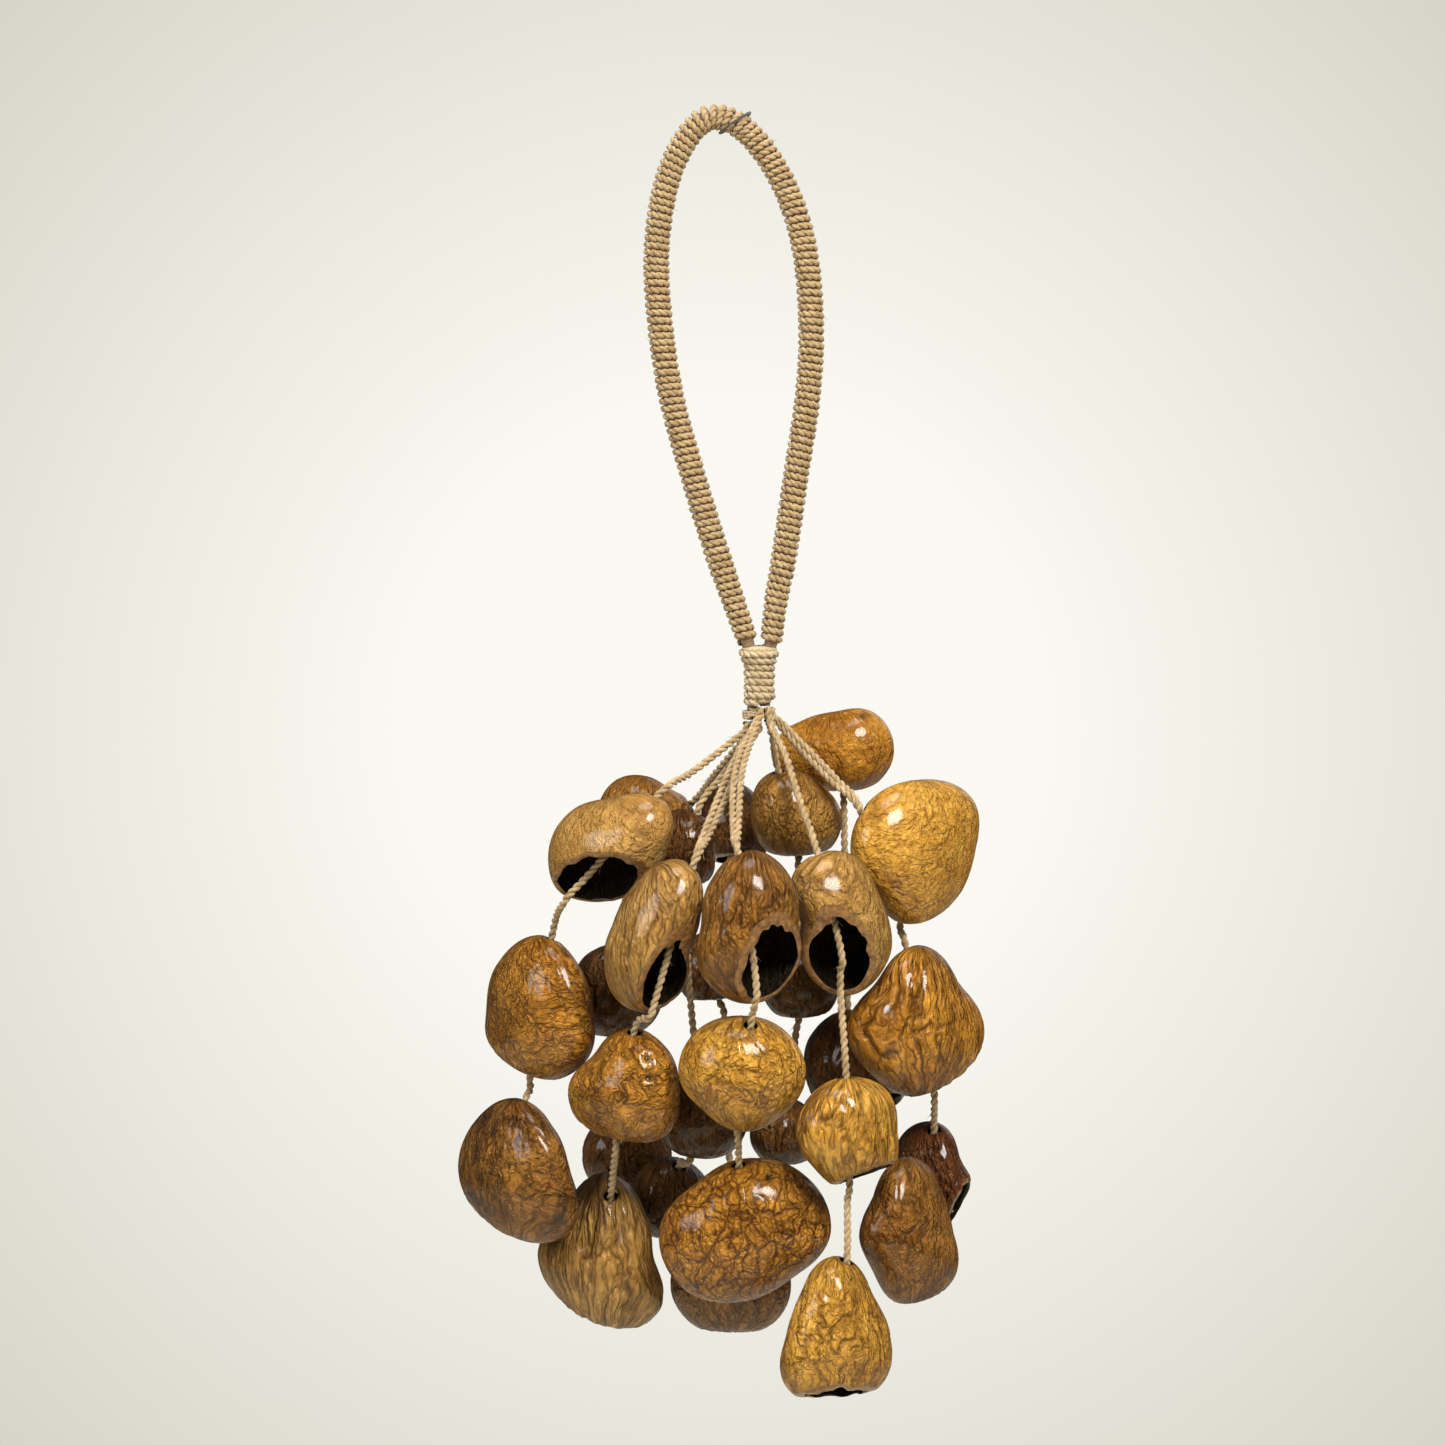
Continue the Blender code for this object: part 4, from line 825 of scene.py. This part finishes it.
PALE_GOLD = dict(base=(0.50, 0.225, 0.018), light=(0.70, 0.370, 0.055), dark=(0.110, 0.033, 0.004))
RICH_GOLD = dict(base=(0.37, 0.140, 0.010), light=(0.58, 0.260, 0.028), dark=(0.075, 0.020, 0.002))
OLD_GOLD = dict(base=(0.22, 0.082, 0.009), light=(0.38, 0.165, 0.024), dark=(0.045, 0.013, 0.002))
WARM_TAN = dict(base=(0.37, 0.180, 0.036), light=(0.54, 0.305, 0.080), dark=(0.095, 0.034, 0.006))
TAN_BROWN = dict(base=(0.275, 0.120, 0.018), light=(0.44, 0.225, 0.045), dark=(0.070, 0.023, 0.003))
# painted shade: the two darkest looks are gold-brown and red-brown shell colours painted much darker, as in
# shadow, for shells at the rear
SHADED_GOLD_BROWN = dict(base=(0.115, 0.042, 0.008), light=(0.22, 0.090, 0.018), dark=(0.026, 0.008, 0.002))
SHADED_RED_BROWN = dict(base=(0.110, 0.030, 0.008), light=(0.20, 0.065, 0.016), dark=(0.030, 0.008, 0.003))

# The look of each shell: colours, how strong each mark is, how drawn out (stretch) and wide (pitch) its
# wrinkles are, and its ridges in mm; what a shell doesn't say is as usual
USUAL = dict(streak=0.5, vein=0.2, wrinkle=0.8, pores=0.3, patch=0.3, ridge=0.25, rough=0.3,
             stretch=0.35, pitch=1.9)
LOOKS = {
    "nut_01_upper": dict(WARM_TAN, streak=0.35, vein=0.1, wrinkle=0.35, pores=1.0, patch=0.25,
                         ridge=0.05, pitch=1.3),
    "nut_01_middle": dict(RICH_GOLD, streak=0.45, vein=0.25, wrinkle=0.9, patch=0.25, ridge=0.15,
                          stretch=0.6),
    "nut_01_lower": dict(OLD_GOLD, streak=0.4, vein=0.25, patch=0.75, ridge=0.2, stretch=0.4),
    "nut_02_upper": dict(WARM_TAN, streak=0.8, vein=0.0, wrinkle=0.7, patch=0.15, ridge=0.2, stretch=0.2,
                         pitch=1.8),
    "nut_02_middle": dict(RICH_GOLD, streak=0.35, wrinkle=0.9, ridge=0.15, stretch=0.6),
    "nut_02_lower": dict(WARM_TAN, streak=0.7, vein=0.0, wrinkle=1.0, ridge=0.35, stretch=0.13, pitch=1.7),
    "nut_03_upper": dict(OLD_GOLD, streak=0.8, vein=0.0, wrinkle=0.9, ridge=0.2, stretch=0.25),
    "nut_03_middle": dict(PALE_GOLD, streak=0.35, patch=0.2, ridge=0.15, stretch=0.45),
    "nut_03_lower": dict(RICH_GOLD, streak=0.3, vein=1.3, wrinkle=0.2, patch=0.2, ridge=0.2, stretch=0.6),
    "nut_04_upper": dict(WARM_TAN, streak=0.6, vein=0.1, wrinkle=0.6, pores=0.5, patch=0.35, ridge=0.15,
                         stretch=0.4),
    "nut_04_middle": dict(PALE_GOLD, streak=0.6, vein=0.1, wrinkle=0.9, patch=0.2, ridge=0.4,
                          stretch=0.2, pitch=2.0),
    "nut_04_lower": dict(PALE_GOLD, vein=0.1, patch=0.15, ridge=0.3),
    "nut_05_upper": dict(PALE_GOLD, streak=0.3, vein=0.35, wrinkle=0.45, patch=0.15, ridge=0.1,
                         stretch=0.5),
    "nut_05_middle": dict(RICH_GOLD, streak=0.6, vein=0.1, wrinkle=0.9, patch=0.25, ridge=0.4, stretch=0.2),
    "nut_05_lower": dict(SHADED_RED_BROWN, streak=0.4, ridge=0.2),
    "nut_06_upper": dict(RICH_GOLD, streak=0.25, vein=0.3, wrinkle=0.35, patch=0.55, ridge=0.1, rough=0.24),
    "nut_06_middle": dict(SHADED_GOLD_BROWN, ridge=0.3),
    "nut_06_lower": dict(OLD_GOLD, streak=0.4, wrinkle=0.7, patch=0.2),
    "nut_07_upper": dict(TAN_BROWN, streak=0.4, vein=0.1, wrinkle=0.55, pores=0.8, ridge=0.1, pitch=1.4),
    "nut_08_lower": dict(OLD_GOLD, vein=0.3, patch=0.5, ridge=0.3),
    "nut_10_upper": dict(OLD_GOLD, streak=0.4, wrinkle=0.6, ridge=0.2),
}
# painted shade: shells not listed take the darkest look, as in shadow
REAR_LOOK = SHADED_GOLD_BROWN

# Folds: a line on the front of the shell (x, z, x, z), its half width and depth, all in mm
FOLDS = {
    "nut_04_lower": [(29.4, -305.0, 27.0, -333.0, 2.6, 0.9)],
    "nut_02_lower": [(-27.0, -288.0, -24.5, -314.0, 1.0, 0.8), (-33.0, -290.0, -34.5, -316.0, 1.0, 0.7)],
    "nut_05_middle": [(55.0, -224.0, 50.5, -254.0, 1.1, 0.9)],
}
# Pits: a place on the front of the shell (x, z), its radius and depth, all in mm
PITS = {
    "nut_02_middle": [(-17.3, -251.6, 1.3, 0.9), (-17.8, -246.2, 1.0, 0.7)],
    "nut_03_lower": [(14.3, -277.0, 1.4, 1.0)],
}
# How far a mouth's edge strays from the ground face (metres)
JAGGED = {"nut_01_upper": 0.0008, "nut_02_upper": 0.0005, "nut_03_upper": 0.0006, "nut_04_upper": 0.0007,
          "nut_04_lower": 0.0011, "nut_05_lower": 0.0006}
RIM_UNEVEN = 0.00022


def shell(nut, number, look):
    """A thin shell with a ground mouth, a string hole and its own wrinkles."""
    seed = sum(ord(c) * (i + 3) for i, c in enumerate(nut.name)) % 97
    values = {**USUAL, **look}
    ridge = values.pop("ridge")
    m = np.array(nut.mouth)
    e1 = unit(np.cross(m, [0.21, 0.93, 0.30]))
    e2 = np.cross(m, e1)
    psi = np.arange(COLUMNS) * math.tau / COLUMNS
    around = np.cos(psi)[:, None] * e1 + np.sin(psi)[:, None] * e2
    rough_rim = JAGGED.get(nut.name, RIM_UNEVEN)
    rim = nut.cut + np.array([
        rough_rim * (noise.noise(Vector((math.cos(a) * 2.2, math.sin(a) * 2.2, seed)))
                     + 0.22 * noise.noise(Vector((math.cos(a) * 5.0, math.sin(a) * 5.0, seed + 5))))
        for a in psi])

    def meridians(rows, wall):
        """Points from the closed end to the mouth, as rows of a grid."""
        alpha = np.linspace(POLE, math.pi, SCAN_STEPS)[:, None, None]
        ways = -m * np.cos(alpha) + around[None] * np.sin(alpha)
        reach = nut.skin(ways, wall) @ m
        out = reach > rim[None, :]
        first = np.where(out.any(axis=0), out.argmax(axis=0), SCAN_STEPS - 1)
        before = np.maximum(first - 1, 0)
        columns = np.arange(COLUMNS)
        lo, hi = reach[before, columns], reach[first, columns]
        part = np.clip((rim - lo) / np.maximum(hi - lo, 1e-9), 0.0, 1.0)
        steps = alpha[:, 0, 0]
        end = steps[before] + part * (steps[first] - steps[before])
        share = np.linspace(0.0, 1.0, rows)[:, None]
        alpha = POLE + (end[None, :] - POLE) * share
        ways = -m * np.cos(alpha)[..., None] + around[None] * np.sin(alpha)[..., None]
        return nut.skin(ways, wall)

    # Wrinkles that stand out, on lines drawn out along the shell, with painted shade in the furrows between
    # them
    p = meridians(ROWS, 0.0).reshape(-1, 3)
    place = p / MM
    turn = np.arctan2(p[:, 1] / (nut.front + nut.back) * 2.0, p[:, 0] / nut.radii.mean())
    grain = np.stack([np.cos(turn) * 9.0, np.sin(turn) * 9.0, place[:, 2]], axis=1)
    lines = grain * [1.0, 1.0, 0.13]
    wander = 0.05 * place[:, [2, 0, 1]]
    depth = np.empty(len(p))
    groove = np.zeros(len(p))
    for i in range(len(p)):
        g = Vector(lines[i] + wander[i]) + Vector((seed, 0.0, 0.0))
        crest = 1.0 - abs(noise.noise(g * 0.62))
        second = 1.0 - abs(noise.noise(g * 1.25))
        low = noise.noise(Vector(place[i] * 0.085) + Vector((seed, 1.0, 2.0)))
        furrow = max(crest - 0.72, 0.0) / 0.28
        wrinkles = 0.75 * furrow ** 1.5 + 0.35 * max(second - 0.7, 0.0) / 0.3
        depth[i] = ridge * wrinkles + LUMP * (0.5 + low * 0.5)
        # painted shade: the furrows between the wrinkles, darkened in the colour
        groove[i] = min(ridge * 1.3, 1.0) * furrow ** 2

    # Folds and pits: painted shade along each fold, and a dark mark in each pit
    middle = np.array(nut.middle)
    world = place + middle / MM
    scar = np.zeros(len(p))
    on_front = p[:, 1] < nut.lean * p[:, 0] + 0.001
    for x1, z1, x2, z2, half, deep in FOLDS.get(nut.name, []):
        along = np.array([x2 - x1, z2 - z1])
        size = np.hypot(*along)
        rel = world[:, [0, 2]] - [x1, z1]
        t = rel @ along / size ** 2
        off = (rel[:, 0] * along[1] - rel[:, 1] * along[0]) / size + 0.7 * np.sin(t * 9.0)
        fade = np.clip(np.minimum(t + 0.1, 1.25 - t) * 6.0, 0.0, 1.0) * on_front
        dip = np.exp(-(off / half) ** 2) * fade
        depth += deep * dip
        groove = np.maximum(groove, 0.18 * dip ** 2)
    for x, z, radius, deep in PITS.get(nut.name, []):
        dip = np.exp(-(np.hypot(world[:, 0] - x, world[:, 2] - z) / radius) ** 2) * on_front
        depth += deep * dip
        scar = np.maximum(scar, np.clip(dip * 1.4 - 0.25, 0.0, 1.0))
    inward = p / np.linalg.norm(p, axis=1)[:, None]
    p = p - inward * (depth * MM + SKIN_INSET)[:, None]

    # The string's hole: faces out where it is, and the skin drawn up to its edge
    hole = np.array(nut.entry() - nut.middle)
    faces = grid_faces(ROWS, COLUMNS)
    near = p[faces].mean(axis=1)
    axis = unit(hole)
    gap = near - hole
    gap -= (gap @ axis)[:, None] * axis
    far_side = near @ axis < 0.0
    faces = faces[(np.linalg.norm(gap, axis=1) > HOLE_FACES) | far_side]
    gap = p - hole
    height = gap @ axis
    gap -= height[:, None] * axis
    away = np.linalg.norm(gap, axis=1)
    close = (away < HOLE_REACH) & (p @ axis > 0.0)
    pushed = HOLE_RADIUS + (HOLE_REACH - HOLE_RADIUS) * (away / HOLE_REACH) ** 1.5
    shift = np.where(close, (pushed - away) / np.maximum(away, 1e-6), 0.0)
    p = p + gap * shift[:, None]
    rim_of_hole = np.where(close, np.exp(-((pushed - HOLE_RADIUS) / 0.0007) ** 2), 0.0)
    scar = np.maximum(scar, 0.85 * rim_of_hole)
    p = p - inward * (rim_of_hole * 0.0005)[:, None]

    # The lining, and the ground band that joins it to the skin
    q = meridians(LINING_ROWS, SHELL_WALL).reshape(-1, 3)
    q_noise = np.array([noise.noise(Vector(v * 260.0) + Vector((seed, 3.0, 0.0))) for v in q])
    q = q * (1.0 + 0.018 * q_noise)[:, None]
    q_faces = grid_faces(LINING_ROWS, COLUMNS)[:, ::-1]
    outer_rim, inner_rim = p[-COLUMNS:], q[-COLUMNS:]
    band = np.vstack([
        outer_rim * (1.0 - t) + inner_rim * t + m * 0.00018 * math.sin(math.pi * t)
        for t in BAND_ROWS])
    base = len(p)
    first_lining = base + len(band)
    last_band = first_lining - COLUMNS
    last_lining = first_lining + len(q) - COLUMNS
    k = np.arange(COLUMNS)
    nxt = (k + 1) % COLUMNS

    def join(a, b):
        """Quads from the row that starts at a to the one that starts at b."""
        return np.stack([a + k, a + nxt, b + nxt, b + k], axis=1)

    blocks = [faces, grid_faces(len(BAND_ROWS), COLUMNS, base), q_faces + first_lining,
              join(base - COLUMNS, base), join(last_band, last_lining)]
    all_faces = [face for block in blocks for face in block.tolist()]
    all_faces.append(k[::-1].tolist())
    all_faces.append((first_lining + k).tolist())
    points = np.vstack([p, band, q])
    count = len(points)
    index = np.arange(count)
    plain = np.zeros(count - base)
    name = nut.name.replace("nut_", "shell_")
    obj = piece(name, points + middle, all_faces, shell_material(name, seed, **values),
                f"strand_{number:02d}", nut.slot, place=points / MM,
                grain=np.vstack([grain, points[base:] * 0.8 / MM]),
                inside=np.where(index >= first_lining, 1.0, 0.0),
                rim=np.where((index >= base) & (index < first_lining), 1.0, 0.0),
                scar=np.concatenate([scar, plain]), groove=np.concatenate([groove, plain]))
    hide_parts(nut.name)


for number, (ring, degrees, way, nuts) in enumerate(STRANDS, 1):
    for nut in nuts:
        shell(nut, number, LOOKS.get(nut.name, REAR_LOOK))


# Studio: soft lamps, a pale floor far below and a cream background with painted shade towards its edges

BUNCH = (0.0, 0.0, -0.20)
FLOOR_Z = -0.75
FLOOR_HALF = 1.6
CREAM = (0.955, 0.945, 0.885)
CREAM_EDGE = (0.655, 0.640, 0.555)
AIR = (1.0, 0.99, 0.965)
AIR_STRENGTH = 0.38
MIRRORED_STRENGTH = 0.03


def lamp(name, place, size, power, colour=(1.0, 1.0, 1.0)):
    """A round soft lamp that faces the bunch."""
    data = bpy.data.lights.new(name, "AREA")
    data.shape = "DISK"
    data.size = size
    data.energy = power
    data.color = colour
    obj = bpy.data.objects.new(name, data)
    obj.location = place
    obj.rotation_euler = (Vector(BUNCH) - Vector(place)).to_track_quat("-Z", "Y").to_euler()
    bpy.context.scene.collection.objects.link(obj)


lamp("key", (0.45, -1.00, 0.80), 0.55, 28.0, (1.0, 0.975, 0.94))
lamp("left", (-1.00, -0.75, 0.30), 0.70, 8.5, (1.0, 0.985, 0.96))
lamp("top", (0.0, -0.20, 1.0), 0.6, 7.0)
lamp("back", (0.5, 1.1, 0.3), 0.8, 1.2)

corners = [(x * FLOOR_HALF, y * FLOOR_HALF, FLOOR_Z) for x, y in ((-1, -1), (1, -1), (1, 1), (-1, 1))]
floor_mesh = bpy.data.meshes.new("floor")
floor_mesh.from_pydata(corners, [], [(0, 1, 2, 3)])
floor_material, _, floor_shader = new_material("floor")
floor_shader.inputs["Base Color"].default_value = opaque(CREAM_EDGE)
floor_shader.inputs["Roughness"].default_value = 0.9
floor_mesh.materials.append(floor_material)
floor = bpy.data.objects.new("floor", floor_mesh)
bpy.context.scene.collection.objects.link(floor)

world = bpy.data.worlds.new("studio")
bpy.context.scene.world = world
world.use_nodes = True
sky = world.node_tree
air = sky.nodes["Background"]
air.inputs["Color"].default_value = opaque(AIR)
air.inputs["Strength"].default_value = AIR_STRENGTH


def glow(colour, strength):
    """An even background."""
    return add(sky, "Background", None, Color=colour, Strength=strength).outputs[0]


# The camera sees cream with painted shade, darkening away from the middle of the view as a painted vignette;
# the rest is lit by pale air, and glossy skins mirror little of it
way = add(sky, "TexCoord").outputs["Generated"]
off = add(sky, "VectorMath", {"operation": "DISTANCE"}, i0=way, i1=(0.0, 1.0, 0.0)).outputs["Value"]
cream = mix(sky, ramp(sky, off, 0.06, 0.205), opaque(CREAM), opaque(CREAM_EDGE))
path = add(sky, "LightPath")
straight = add(sky, "Math", {"operation": "MAXIMUM"}, i0=path.outputs["Is Camera Ray"],
               i1=path.outputs["Is Transmission Ray"]).outputs[0]
seen = add(sky, "MixShader", None, i0=straight, i1=air.outputs[0], i2=glow(cream, 1.0)).outputs[0]
mirrored = glow(opaque(AIR), MIRRORED_STRENGTH)
shown = add(sky, "MixShader", None, i0=path.outputs["Is Glossy Ray"], i1=seen, i2=mirrored)
sky.links.new(shown.outputs[0], sky.nodes["World Output"].inputs["Surface"])
